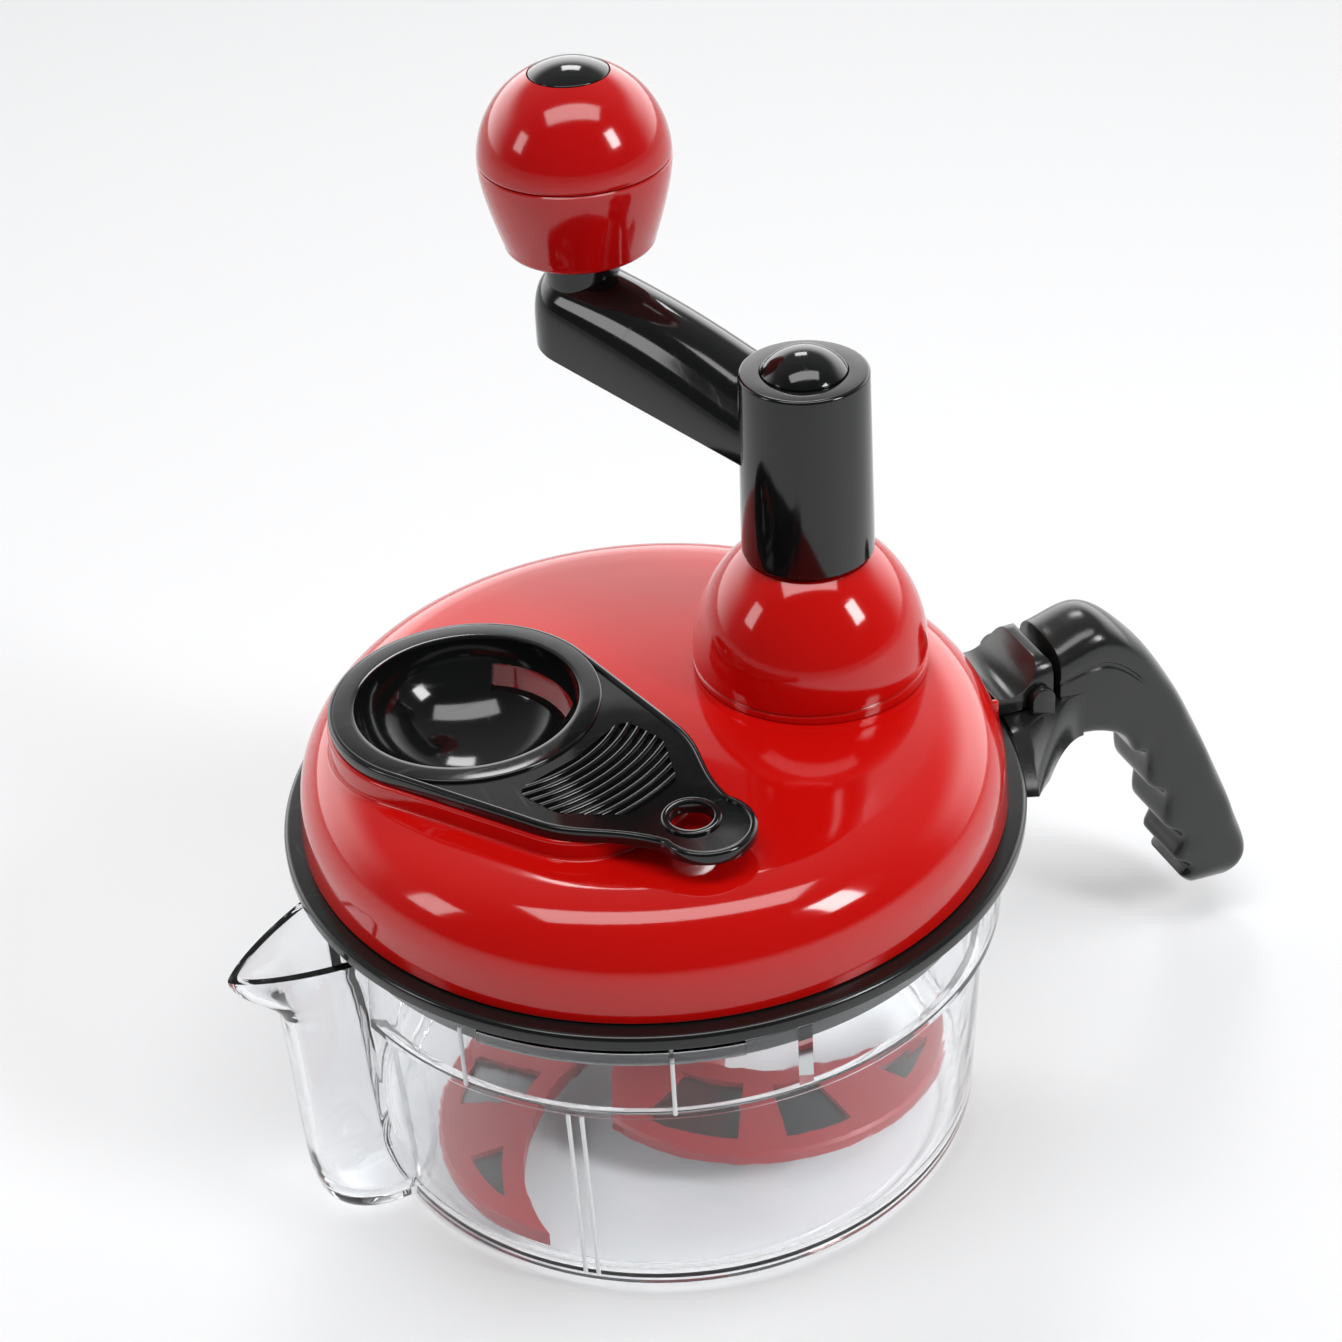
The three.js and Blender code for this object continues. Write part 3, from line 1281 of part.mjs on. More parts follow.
function makeGuard() {
  const { outerMiddle, outerRadius } = crescentShares;
  const half = guardThickness / 2;
  const pocketHalf = bladeThickness / 2 + seatGap;
  const keepOff = rod(bladeHubRadius + seatGap, -half - overrun, half + overrun,
    { segments: mediumSegments });
  const sleeve = crescent(guardMargin, -half, half);
  const heelOpen = block([-2 * bladeReach, crescentShares.heel * bladeReach + seatGap],
    [-2 * bladeReach, 2 * bladeReach], [-pocketHalf, pocketHalf]);
  const pocket = join(crescent(seatGap, -pocketHalf, pocketHalf), heelOpen);
  const windows = guardWindows.map(([from, to]) => {
    const hole = prism(sector(guardMargin, outerRadius * bladeReach - guardWindowMargin, from,
      to), -half - overrun, half + overrun);
    const placed = moved(hole, { x: outerMiddle[0] * bladeReach, y: outerMiddle[1] * bladeReach });
    return placed.intersect(crescent(-guardWindowMargin, -half - overrun, half + overrun));
  });
  return cut(sleeve, pocket, keepOff, ...windows);
}

function makeBladeHub() {
  const bore = spindleRadius + runGap;
  const body = turned([
    [bore, bladeHubFoot],
    [bladeHubRadius, bladeHubFoot],
    [bladeHubRadius, bladeHubCollarTop],
    [bladeHubWaistRadius, bladeHubCollarTop + bladeHubRadius - bladeHubWaistRadius],
    [bladeHubWaistRadius, bladeSocketFloor],
    [bladeHubGripRadius, bladeHubTop],
    [bore, bladeHubTop],
    [bore, bladeHubFoot],
  ], mediumSegments);
  const socket = prism(hexagon(pinionHexAcross + 2 * seatGap), bladeSocketFloor,
    bladeHubTop + overrun);
  const half = bladeThickness / 2 + seatGap;
  const slots = bladeTipAzimuths.map((azimuth, i) => moved(
    bladeBlank(seatGap, -half, half), { turn: azimuth, z: lowestBlade + i * bladePitch }));
  return cut(body, socket, ...slots);
}

// Egg separator, made about the middle of its cup with the tail along +X

function makeSeparator() {
  const low = separatorSeat + seatGap;
  const high = separatorTop;
  const plate = prism(teardrop(0, 'tab'), low, high);
  const rim = cut(
    prism(teardrop(0, 'tab'), high - separatorRimRise, high + separatorRimRise),
    prism(teardrop(separatorRimWidth, 'tab'), high - overrun, high + overrun));
  const half = (radius, depth) => Array.from({ length: curveSteps + 2 }, (_, i) => {
    const angle = Math.PI / 2 * (i / (curveSteps + 1) - 1);
    return [radius * Math.cos(angle), high + depth * Math.sin(angle)];
  });
  const cupDepth = cupRadius * cupDepthShare;
  const cupOuter = turned([...half(cupRadius + cupWall, cupDepth + cupWall),
    [0, high]], mediumSegments);
  const cupInner = turned([...half(cupRadius, cupDepth), [cupRadius, high + overrun],
    [0, high + overrun]], mediumSegments);
  const lip = ring(cupRadius, cupRadius + separatorRimWidth, high - separatorRimRise,
    high + separatorRimRise, mediumSegments);
  const slots = [90, -90].map((middle) => prism(
    sector(cupRadius * cupSlotInnerShare, chuteRadius + overrun, middle - cupSlotSweep / 2,
      middle + cupSlotSweep / 2), high - cupRadius * cupSlotLowShare,
    high - cupRadius * cupSlotHighShare));
  const holeAt = { x: cupRadius * tabHoleAlongShare, segments: mediumSegments };
  const holeRim = rod(cupRadius * tabHoleShare + tabHoleRimWidth, high - separatorRimRise,
    high + separatorRimRise, holeAt);
  const hole = rod(cupRadius * tabHoleShare, low - overrun, high + overrun, holeAt);
  const gripPanelStart = cupRadius * gripPanelStartShare;
  const gripPanelEnd = cupRadius * gripPanelEndShare;
  const panelHalf = cupRadius * gripPanelWidthShare;
  const narrow = block([0, gripPanelEnd + overrun], [-panelHalf, panelHalf],
    [low, high + overrun]);
  const panel = prism(sector(gripPanelStart, gripPanelEnd, -gripPanelSweep / 2,
    gripPanelSweep / 2), high - gripPanelDepth, high + overrun).intersect(narrow);
  const ribPitch = (gripPanelEnd - gripPanelStart) / (gripRibCount + 1);
  const ribs = Array.from({ length: gripRibCount }, (_, i) => {
    const middle = gripPanelStart + ribPitch * (i + 1);
    return prism(sector(middle - gripRibWidth / 2, middle + gripRibWidth / 2,
      -gripPanelSweep / 2, gripPanelSweep / 2), high - gripPanelDepth - separatorRimRise / 2,
    high).intersect(narrow);
  });
  const tray = cut(join(plate, rim, cupOuter, lip, holeRim), cupInner, hole, panel, ...slots);
  return join(tray, ...ribs);
}

// Assembly

const chopper = new THREE.Group();
chopper.add(
  piece('bowl', makeBowl(), 'clear'),
  piece('blade_spindle', makeSpindle(), 'steel'),
  piece('rim_collar', makeCollar(), 'black'),
  piece('side_handle', makeHandle(), 'black'),
  piece('handle_screw_1', makeHandleScrew(-1), 'steel'),
  piece('handle_screw_2', makeHandleScrew(1), 'steel'),
  piece('thumb_latch', makeLatch(), 'black'),
  piece('latch_pin', makeLatchPin(), 'steel'),
  piece('lid_cover', makeLidCover(), 'red'),
  piece('gear_plate', makeGearPlate(), 'smoke'),
  piece('plug_ring', makePlugRing(), 'smoke'),
  piece('lid_seal', makeSeal(), 'silicone'),
  ...screwPostAzimuths.map((azimuth, i) => piece(`plate_screw_${i + 1}`,
    makePlateScrew(azimuth), 'steel')),
  piece('drive_pinion', makePinion(), 'nylon'),
);
const pinionFlange = gearBottom - seatGap;
chopper.add(piece('pinion_bush', flangedBush(pinionJournalRadius + runGap, pinionTubeFoot,
  pinionFlange - bushFlangeThickness, pinionFlange), 'nylon'));

const crankAxis = new THREE.Group();
crankAxis.position.x = crankReach;
chopper.add(crankAxis);
const bushTop = domeTop + bushFlangeThickness;
crankAxis.add(
  piece('gear_dome', makeDome(), 'red'),
  ...domePostAzimuths.map((azimuth, i) => piece(`dome_screw_${i + 1}`,
    makeDomeScrew(azimuth), 'steel')),
  piece('shaft_bush', flangedBush(shaftRadius + runGap, domeTop - shaftBushLength,
    domeTop + seatGap / 2, bushTop), 'nylon'),
  piece('crank_shaft', makeShaft(), 'steel'),
  piece('drive_gear', makeDriveGear(), 'nylon'),
  piece('gear_washer', ring(shaftJournalRadius + runGap, washerRadius,
    gearBottom - seatGap - washerThickness, gearBottom - seatGap, mediumSegments), 'steel'),
);

const crankTurn = new THREE.Group();
crankTurn.rotation.z = radians(armAzimuth);
crankAxis.add(crankTurn);
crankTurn.add(
  piece('crank_arm', makeArm(), 'black'),
  piece('crank_screw', makeCrankScrew(), 'steel'),
  piece('hub_cap', makeHubCap(), 'black'),
);
const knobAxis = new THREE.Group();
knobAxis.position.x = armLength;
crankTurn.add(knobAxis);
knobAxis.add(
  piece('knob_pin', makeKnobPin(), 'steel'),
  piece('knob_lower', makeKnobLower(), 'red'),
  piece('knob_upper', makeKnobUpper(), 'red'),
  piece('knob_cap', makeKnobCap(), 'black'),
);

chopper.add(piece('blade_hub', makeBladeHub(), 'guard'));
bladeTipAzimuths.forEach((azimuth, i) => {
  const level = new THREE.Group();
  level.position.z = lowestBlade + i * bladePitch;
  level.rotation.z = radians(azimuth);
  level.add(
    piece(`blade_${i + 1}`, makeBlade(), 'steel'),
    piece(`blade_guard_${i + 1}`, makeGuard(), 'guard'),
  );
  chopper.add(level);
});

const separatorSpot = new THREE.Group();
separatorSpot.position.set(separatorPlace.x, separatorPlace.y, 0);
separatorSpot.rotation.z = radians(separatorTurn);
separatorSpot.add(piece('egg_separator', makeSeparator(), 'black'));
chopper.add(separatorSpot);

export default chopper;
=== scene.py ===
# Crank food chopper: the looks of its pieces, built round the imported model
import math
import bpy
import bmesh
from mathutils import Matrix, Vector


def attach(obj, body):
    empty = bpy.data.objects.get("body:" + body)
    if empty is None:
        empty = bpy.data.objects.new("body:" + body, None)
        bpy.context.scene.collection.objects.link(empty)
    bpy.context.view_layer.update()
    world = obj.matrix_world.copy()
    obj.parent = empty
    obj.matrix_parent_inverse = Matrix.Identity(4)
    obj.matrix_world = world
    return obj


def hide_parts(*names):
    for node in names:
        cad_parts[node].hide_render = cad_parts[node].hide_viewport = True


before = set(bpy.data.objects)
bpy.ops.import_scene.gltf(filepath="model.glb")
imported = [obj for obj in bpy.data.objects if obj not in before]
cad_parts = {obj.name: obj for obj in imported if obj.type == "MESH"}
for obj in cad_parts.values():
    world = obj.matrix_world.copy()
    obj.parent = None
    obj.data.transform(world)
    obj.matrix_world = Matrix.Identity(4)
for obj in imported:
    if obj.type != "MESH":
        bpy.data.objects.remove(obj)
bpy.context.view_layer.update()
print("frame loaded")

mm = 0.001  # the lists and dictionaries below are in millimetres and degrees


def newObject(name, data):
    made = bpy.data.objects.new(name, data)
    bpy.context.scene.collection.objects.link(made)
    return made


# Camera

view = {
    "place": (0.0, -543.4, 501.57),     # in front of the bowl, before the object is turned
    "yaw": 0.0106,
    "pitch": 0.6039,
    "roll": -0.0591,
    "objectTurn": -20.0,                # the handle points away to the right
    "lens": 74.98,
    "sensor": 36.0,
}


def seenFrame(point):
    return Matrix.Rotation(math.radians(view["objectTurn"]), 3, "Z") @ Vector(point)


def makeCamera():
    yaw, pitch, roll = view["yaw"], view["pitch"], view["roll"]
    ahead = Vector((math.sin(yaw) * math.cos(pitch), math.cos(yaw) * math.cos(pitch), -math.sin(pitch)))
    right = ahead.cross(Vector((0, 0, 1))).normalized()
    up = right.cross(ahead)
    rolledRight = right * math.cos(roll) + up * math.sin(roll)
    rolledUp = up * math.cos(roll) - right * math.sin(roll)
    axes = [seenFrame(axis) for axis in (rolledRight, rolledUp, -ahead)]
    data = bpy.data.cameras.new("photoCamera")
    data.lens = view["lens"]
    data.sensor_width = view["sensor"]
    camera = newObject("photoCamera", data)
    place = Matrix.Translation(seenFrame(view["place"]) * mm)
    camera.matrix_world = place @ Matrix(axes).transposed().to_4x4()
    bpy.context.scene.camera = camera


# Node helpers for the studio's air, the finishes and the repeats

def fill(tree, node, inputs):
    # Give inputs their values, or a link where the value is another node's output
    for name, value in inputs.items():
        if isinstance(value, bpy.types.NodeSocket):
            tree.links.new(value, node.inputs[name])
        else:
            node.inputs[name].default_value = value
    return node


def addNode(tree, kind, inputs=None, **settings):
    node = tree.nodes.new(kind)
    for name, value in settings.items():
        setattr(node, name, value)
    return fill(tree, node, inputs or {})


def addSockets(tree, way, kind, sockets):
    for name, value in sockets.items():
        socket = tree.interface.new_socket(name=name, in_out=way, socket_type=kind)
        if value is not None:
            socket.default_value = value


def maths(tree, operation, *values):
    return addNode(tree, "ShaderNodeMath", dict(enumerate(values)), operation=operation).outputs["Value"]


def mapRange(tree, value, source, target, way="LINEAR"):
    inputs = {"Value": value, "From Min": source[0], "From Max": source[1],
              "To Min": target[0], "To Max": target[1]}
    return addNode(tree, "ShaderNodeMapRange", inputs, interpolation_type=way).outputs["Result"]


def noise(tree, place, scale, detail):
    inputs = {"Vector": place, "Scale": scale, "Detail": detail}
    return addNode(tree, "ShaderNodeTexNoise", inputs).outputs["Fac"]


def newMaterial(name):
    material = bpy.data.materials.new(name)
    material.use_nodes = True
    return material, material.node_tree, material.node_tree.nodes["Principled BSDF"]


# Studio

studio = {
    "middle": (0.0, 0.0, 120.0),
    # name: turn from the camera, height angle, distance, width, height, watts
    "boxes": {
        "rightBox": (58, 34, 1500, 300, 480, 8),
        "leftBox": (-76, 28, 1500, 300, 480, 2.2),
        "topBox": (4, 78, 1300, 1300, 420, 9),
        "backBox": (178, 47, 1500, 360, 260, 3),
    },
    "greySpan": (-0.5, 0.6),            # the air turns from near to far grey as it faces away from the camera
    "grey": (0.07, 0.32),
    "wallSpan": (0.0, 0.7),             # the lit wall far behind the object
    "wall": (0, 2.7),
    "wallTop": (0.36, 0.66),            # the height at which it fades
    "floorSize": 30.0,
    "floorDrop": 0.3,                   # under the bowl's foot, so that the two faces don't coincide
    "floorColour": (0.86, 0.865, 0.875, 1),
    "floorRoughness": 0.55,
}


def makeLights():
    middle = Vector(studio["middle"])
    for name, (turn, height, distance, width, tall, watts) in studio["boxes"].items():
        data = bpy.data.lights.new(name, "AREA")
        data.shape = "RECTANGLE"
        data.size, data.size_y = width * mm, tall * mm
        data.energy = watts
        around, lift = math.radians(turn), math.radians(height)
        away = Vector((math.sin(around) * math.cos(lift), -math.cos(around) * math.cos(lift), math.sin(lift)))
        place = seenFrame(middle + away * distance) * mm
        light = newObject(name, data)
        light.rotation_euler = (place - middle * mm).to_track_quat("Z", "Y").to_euler()
        light.location = place


def makeAir():
    world = bpy.data.worlds.new("studioAir")
    bpy.context.scene.world = world
    world.use_nodes = True
    tree = world.node_tree
    direction = addNode(tree, "ShaderNodeTexCoord").outputs["Generated"]
    away = addNode(tree, "ShaderNodeVectorMath", {0: direction, 1: seenFrame((0, 1, 0))},
                   operation="DOT_PRODUCT")
    height = addNode(tree, "ShaderNodeSeparateXYZ", {"Vector": direction})
    broad = mapRange(tree, away.outputs["Value"], studio["greySpan"], studio["grey"], "SMOOTHSTEP")
    behind = mapRange(tree, away.outputs["Value"], studio["wallSpan"], studio["wall"], "SMOOTHSTEP")
    band = mapRange(tree, height.outputs["Z"], studio["wallTop"], (1, 0), "SMOOTHSTEP")
    fill(tree, tree.nodes["Background"], {"Color": maths(tree, "MULTIPLY_ADD", behind, band, broad)})


def makeFloor():
    half, level = studio["floorSize"] / 2, -studio["floorDrop"] * mm
    mesh = bpy.data.meshes.new("floor")
    corners = [(x * half, y * half, level) for x, y in ((-1, -1), (1, -1), (1, 1), (-1, 1))]
    mesh.from_pydata(corners, [], [(0, 1, 2, 3)])
    paper, tree, shader = newMaterial("paleFloor")
    fill(tree, shader, {"Base Color": studio["floorColour"], "Roughness": studio["floorRoughness"]})
    mesh.materials.append(paper)
    newObject("floor", mesh)


makeCamera()
makeLights()
makeAir()
makeFloor()
bpy.context.scene.view_settings.view_transform = "Standard"
print("camera and studio ready")

# The skin of moulded plastic: a faint ripple in the gloss, hairline scuffs and a little uneven colour

skin = {
    "inputs": {"Roughness": 0.2, "Ripple": 0.05, "Grain": 0.0, "Grain Scale": 900.0, "Scuffs": 0.1},
    "broad": (9, 3),                    # scale and detail of the noise
    "ripple": (60, 2),
    "grainDetail": 4,
    "markDetail": 8,
    "markTurn": (0.3, 0.2, 0.7),
    # scuffs and hairs: the noise's scale, its stretch, and where a mark starts and is full
    "marks": ((40, (1, 14, 1), (0.60, 0.78)), (55, (16, 1, 2), (0.62, 0.80))),
    "broadSpan": (0.3, 0.7),
    "tone": (0.94, 1.04),
    "unevenness": (0.85, 1.2),
    "depth": 0.0004,
}


def skinGroup():
    tree = bpy.data.node_groups.new("mouldedSkin", "ShaderNodeTree")
    addSockets(tree, "INPUT", "NodeSocketFloat", skin["inputs"])
    addSockets(tree, "OUTPUT", "NodeSocketFloat", {"Tone": None, "Roughness": None})
    addSockets(tree, "OUTPUT", "NodeSocketVector", {"Normal": None})
    put = addNode(tree, "NodeGroupInput")
    place = addNode(tree, "ShaderNodeTexCoord").outputs["Object"]
    broad = noise(tree, place, *skin["broad"])
    marks = []
    for scale, stretch, span in skin["marks"]:
        streaks = addNode(tree, "ShaderNodeMapping", {
            "Vector": place, "Scale": stretch, "Rotation": skin["markTurn"]})
        patches = noise(tree, streaks.outputs["Vector"], scale, skin["markDetail"])
        marks.append(mapRange(tree, patches, span, (0, 1)))
    marks = maths(tree, "MULTIPLY", maths(tree, "MAXIMUM", *marks), put.outputs["Scuffs"])
    uneven = mapRange(tree, broad, skin["broadSpan"], skin["unevenness"])
    uneven = maths(tree, "MULTIPLY", put.outputs["Roughness"], uneven)
    ripple = maths(tree, "MULTIPLY", noise(tree, place, *skin["ripple"]), put.outputs["Ripple"])
    grain = noise(tree, place, put.outputs["Grain Scale"], skin["grainDetail"])
    relief = maths(tree, "ADD", ripple, maths(tree, "MULTIPLY", grain, put.outputs["Grain"]))
    bump = addNode(tree, "ShaderNodeBump", {"Distance": skin["depth"], "Height": relief})
    fill(tree, addNode(tree, "NodeGroupOutput"), {
        "Tone": mapRange(tree, broad, skin["broadSpan"], skin["tone"]),
        "Roughness": maths(tree, "ADD", uneven, marks), "Normal": bump.outputs["Normal"],
    })
    return tree


mouldedSkin = skinGroup()

# name: colour, the skin's inputs, and plain values of the shader's own sockets
finishes = {
    "redGloss": ((0.60, 0.004, 0.0025), {"Roughness": 0.09, "Ripple": 0.10, "Scuffs": 0.07},
                 {"Coat Weight": 0.2, "Coat Roughness": 0.04, "IOR": 1.48}),
    "knobRed": ((0.52, 0.003, 0.0035), {"Roughness": 0.12, "Ripple": 0.12, "Scuffs": 0.09},
                {"Coat Weight": 0.2, "Coat Roughness": 0.05, "IOR": 1.48}),
    "blackGloss": ((0.006, 0.0065, 0.0065), {"Roughness": 0.09, "Ripple": 0.12, "Scuffs": 0.12},
                   {"IOR": 1.52}),
    "blackSatin": ((0.013, 0.0145, 0.0135),
                   {"Roughness": 0.19, "Ripple": 0.10, "Grain": 0.05, "Grain Scale": 1500, "Scuffs": 0.08},
                   {"IOR": 1.5}),
    "collarBlack": ((0.008, 0.009, 0.0085), {"Roughness": 0.16, "Ripple": 0.12, "Scuffs": 0.12},
                    {"IOR": 1.5}),
    "guardRed": ((0.42, 0.012, 0.018), {"Roughness": 0.34, "Ripple": 0.2, "Grain": 0.06, "Scuffs": 0.2},
                 {"IOR": 1.48}),
    "smokePlastic": ((0.035, 0.04, 0.043), {"Roughness": 0.36, "Ripple": 0.1, "Grain": 0.1, "Scuffs": 0.2},
                     {"IOR": 1.48}),
    "gearNylon": ((0.78, 0.76, 0.70), {"Roughness": 0.42, "Ripple": 0.1, "Grain": 0.1, "Scuffs": 0.15},
                  {"IOR": 1.53, "Subsurface Weight": 0.1}),
    "bushNylon": ((0.62, 0.61, 0.57), {"Roughness": 0.38, "Ripple": 0.1, "Grain": 0.12, "Scuffs": 0.15},
                  {"IOR": 1.53}),
    # frosted white for the marks, also used for the ring that paints the glare in the bowl's foot
    "frostAndPaintedGlare": ((0.93, 0.94, 0.95), {"Roughness": 0.5, "Ripple": 0.1, "Grain": 0.2, "Scuffs": 0.1},
                     {"IOR": 1.46}),
    "sealRubber": ((0.68, 0.70, 0.70), {"Roughness": 0.55, "Ripple": 0.2, "Grain": 0.25, "Scuffs": 0.1},
                   {"IOR": 1.42}),
    "clearPlastic": ((0.975, 0.985, 0.997), {"Roughness": 0.025, "Ripple": 0.25, "Scuffs": 0.10},
                     {"IOR": 1.46, "Transmission Weight": 1.0}),
}


def plastic(name):
    colour, surface, sockets = finishes[name]
    material, tree, shader = newMaterial(name)
    moulded = addNode(tree, "ShaderNodeGroup", node_tree=mouldedSkin)
    fill(tree, moulded, surface)
    colour = (*colour, 1)
    if "Transmission Weight" not in sockets:    # clear plastic keeps one plain colour
        colour = addNode(tree, "ShaderNodeMix", data_type="RGBA", blend_type="MULTIPLY",
                         inputs={"Factor": 1, "A": colour, "B": moulded.outputs["Tone"]}).outputs["Result"]
    fill(tree, shader, {"Base Color": colour, **sockets})
    fill(tree, shader, {name: moulded.outputs[name] for name in ("Roughness", "Normal")})
    return material


# name: colour, roughness, brush stretch along X, Y and Z
metals = {
    "bladeSteel": ((0.27, 0.28, 0.28), 0.24, (3, 40, 3)),
    "spindleSteel": ((0.60, 0.61, 0.62), 0.2, (6, 6, 40)),
    "screwSteel": ((0.50, 0.50, 0.51), 0.3, (12, 12, 12)),
}
brushing = {"scale": 60, "detail": 6, "gloss": (0.8, 1.25), "bump": {"Distance": 0.00002, "Strength": 0.05}}


def metal(name):
    colour, roughness, stretch = metals[name]
    material, tree, shader = newMaterial(name)
    place = addNode(tree, "ShaderNodeTexCoord").outputs["Object"]
    brushed = addNode(tree, "ShaderNodeMapping", {"Vector": place, "Scale": stretch}).outputs["Vector"]
    hairs = noise(tree, brushed, brushing["scale"], brushing["detail"])
    bump = addNode(tree, "ShaderNodeBump", {"Height": hairs, **brushing["bump"]})
    gloss = mapRange(tree, hairs, (0, 1), [roughness * share for share in brushing["gloss"]])
    fill(tree, shader, {"Base Color": (*colour, 1), "Metallic": 1, "Roughness": gloss,
                        "Normal": bump.outputs["Normal"]})
    return material


look = {name: plastic(name) for name in finishes}
look.update({name: metal(name) for name in metals})
print("finishes ready")

# Making meshes

ringSteps = 144
mergeGap = 0.002
sliverEdge = 0.001
bevelAngle = 40


def meshObject(name, points, faces, crease=35):
    mesh = bpy.data.meshes.new(name)
    mesh.from_pydata([Vector(point) * mm for point in points], [], faces)
    made = newObject(name, mesh)
    settle(made, crease)
    return made


def settle(made, crease=35):
    # Merge doubles, turn the faces outwards and keep edges sharper than the crease angle
    shape = bmesh.new()
    shape.from_mesh(made.data)
    bmesh.ops.remove_doubles(shape, verts=shape.verts, dist=mergeGap * mm)
    bmesh.ops.dissolve_degenerate(shape, edges=shape.edges, dist=sliverEdge * mm)
    bmesh.ops.recalc_face_normals(shape, faces=shape.faces)
    shape.to_mesh(made.data)
    shape.free()
    made.data.shade_smooth()
    made.data.set_sharp_from_angle(angle=math.radians(crease))


def bake(made):
    # Apply the modifiers through the evaluated object
    evaluated = made.evaluated_get(bpy.context.evaluated_depsgraph_get())
    mesh = bpy.data.meshes.new_from_object(evaluated)
    made.modifiers.clear()
    made.data = mesh
    return made


def joined(name, parts):
    # Several solids in one mesh, for one cut or one join
    shape = bmesh.new()
    for part in parts:
        shape.from_mesh(part.data)
        bpy.data.objects.remove(part)
    mesh = bpy.data.meshes.new(name)
    shape.to_mesh(mesh)
    shape.free()
    return newObject(name, mesh)


def carve(made, tool, way="DIFFERENCE", crease=35):
    step = made.modifiers.new("carve", "BOOLEAN")
    step.operation = way
    step.solver = "EXACT"
    step.object = tool
    bake(made)
    bpy.data.objects.remove(tool)
    settle(made, crease)
    return made


def bevelled(made, width, crease=35, steps=2):
    step = made.modifiers.new("edges", "BEVEL")
    step.width = width * mm
    step.segments = steps
    step.limit_method = "ANGLE"
    step.angle_limit = math.radians(bevelAngle)
    step.use_clamp_overlap = True
    bake(made)
    settle(made, crease)
    return made


def polar(reach, turn):
    return (reach * math.cos(math.radians(turn)), reach * math.sin(math.radians(turn)))


def arc(centre, radius, start, end, steps):
    spots = (polar(radius, start + (end - start) * i / steps) for i in range(steps + 1))
    return [(centre[0] + x, centre[1] + y) for x, y in spots]


def curved(start, pull, end, steps):
    # A bend from start to end that is drawn towards the pull
    a, b, c = (Vector(point) for point in (start, pull, end))
    return [tuple(a.lerp(b, t).lerp(b.lerp(c, t), t)) for t in (i / steps for i in range(steps + 1))]


def softened(corners, steps=4):
    # A line of corners (x, y) or (x, y, radius), with an arc at each one that has a radius
    line = []
    for i, corner in enumerate(corners):
        here = Vector(corner[:2])
        radius = corner[2] if len(corner) > 2 else 0
        if radius == 0 or i in (0, len(corners) - 1):
            line.append((here.x, here.y))
            continue
        back = (Vector(corners[i - 1][:2]) - here).normalized()
        on = (Vector(corners[i + 1][:2]) - here).normalized()
        half = back.angle(on) / 2
        centre = here + (back + on).normalized() * (radius / math.sin(half))
        first = here + back * (radius / math.tan(half)) - centre
        last = here + on * (radius / math.tan(half)) - centre
        start = math.atan2(first.y, first.x)
        turn = math.atan2(last.y, last.x) - start
        turn = (turn + math.pi) % (2 * math.pi) - math.pi
        for k in range(steps + 1):
            angle = start + turn * k / steps
            line.append((centre.x + radius * math.cos(angle), centre.y + radius * math.sin(angle)))
    return line


def spun(name, profile, centre=(0, 0), steps=ringSteps, crease=35):
    # (radius, height) points turned about an upright axis; ends on the axis become poles
    points, faces, rows = [], [], []
    x, y = centre
    for radius, height in profile:
        count = steps if radius > 0.001 else 1
        rows.append(range(len(points), len(points) + count))
        for i in range(count):
            angle = 2 * math.pi * i / steps
            points.append((x + radius * math.cos(angle), y + radius * math.sin(angle), height))
    pairs = list(zip(rows, rows[1:]))
    if len(rows[0]) > 1 and len(rows[-1]) > 1:
        pairs.append((rows[-1], rows[0]))
    for a, b in pairs:
        for i in range(steps):
            j = (i + 1) % steps
            corners = (a[i % len(a)], a[j % len(a)], b[j % len(b)], b[i % len(b)])
            face = list(dict.fromkeys(corners))
            if len(face) > 2:
                faces.append(face)
    return meshObject(name, points, faces, crease)


def lofted(name, rings, crease=35, flatEnds=False):
    # A closed skin over rings with as many points each, with one face or a fan over each end
    count = len(rings[0])
    points = [point for ring in rings for point in ring]
    faces = []
    for i in range(len(rings) - 1):
        for j in range(count):
            a, b = i * count + j, i * count + (j + 1) % count
            faces.append((a, b, b + count, a + count))
    for start, ring in ((0, rings[0]), ((len(rings) - 1) * count, rings[-1])):
        if flatEnds:
            faces.append(tuple(range(start, start + count)))
            continue
        points.append(sum((Vector(point) for point in ring), Vector()) / count)
        faces += [(len(points) - 1, start + j, start + (j + 1) % count) for j in range(count)]
    return meshObject(name, points, faces, crease)


def prism(name, outline, low, high, crease=35):
    # An outline seen from above, made a slab; the outline needn't be convex
    count = len(outline)
    points = [(x, y, z) for z in (low, high) for x, y in outline]
    faces = [(j, (j + 1) % count, (j + 1) % count + count, j + count) for j in range(count)]
    faces += [tuple(reversed(range(count))), tuple(range(count, 2 * count))]
    return meshObject(name, points, faces, crease)


def crossPrism(name, outline, low, high):
    # The same with the outline drawn in X and Z and the slab's thickness along Y
    made = prism(name, outline, -high, -low)
    made.data.transform(Matrix.Rotation(math.radians(90), 4, "X"))
    return made


def rod(name, radius, low, high, centre=(0, 0), steps=48):
    return spun(name, [(0, low), (radius, low), (radius, high), (0, high)], centre, steps)


def block(name, x, y, z):
    return prism(name, [(x[0], y[0]), (x[1], y[0]), (x[1], y[1]), (x[0], y[1])], *z)


def hexagon(across):
    return [polar(across / math.sqrt(3), 60 * i) for i in range(6)]


def mix(a, b, share):
    return a + (b - a) * share


def hermite(a, b, slopeA, slopeB, t):
    return ((2 * t ** 3 - 3 * t ** 2 + 1) * a + (t ** 3 - 2 * t ** 2 + t) * slopeA
            + (3 * t ** 2 - 2 * t ** 3) * b + (t ** 3 - t ** 2) * slopeB)


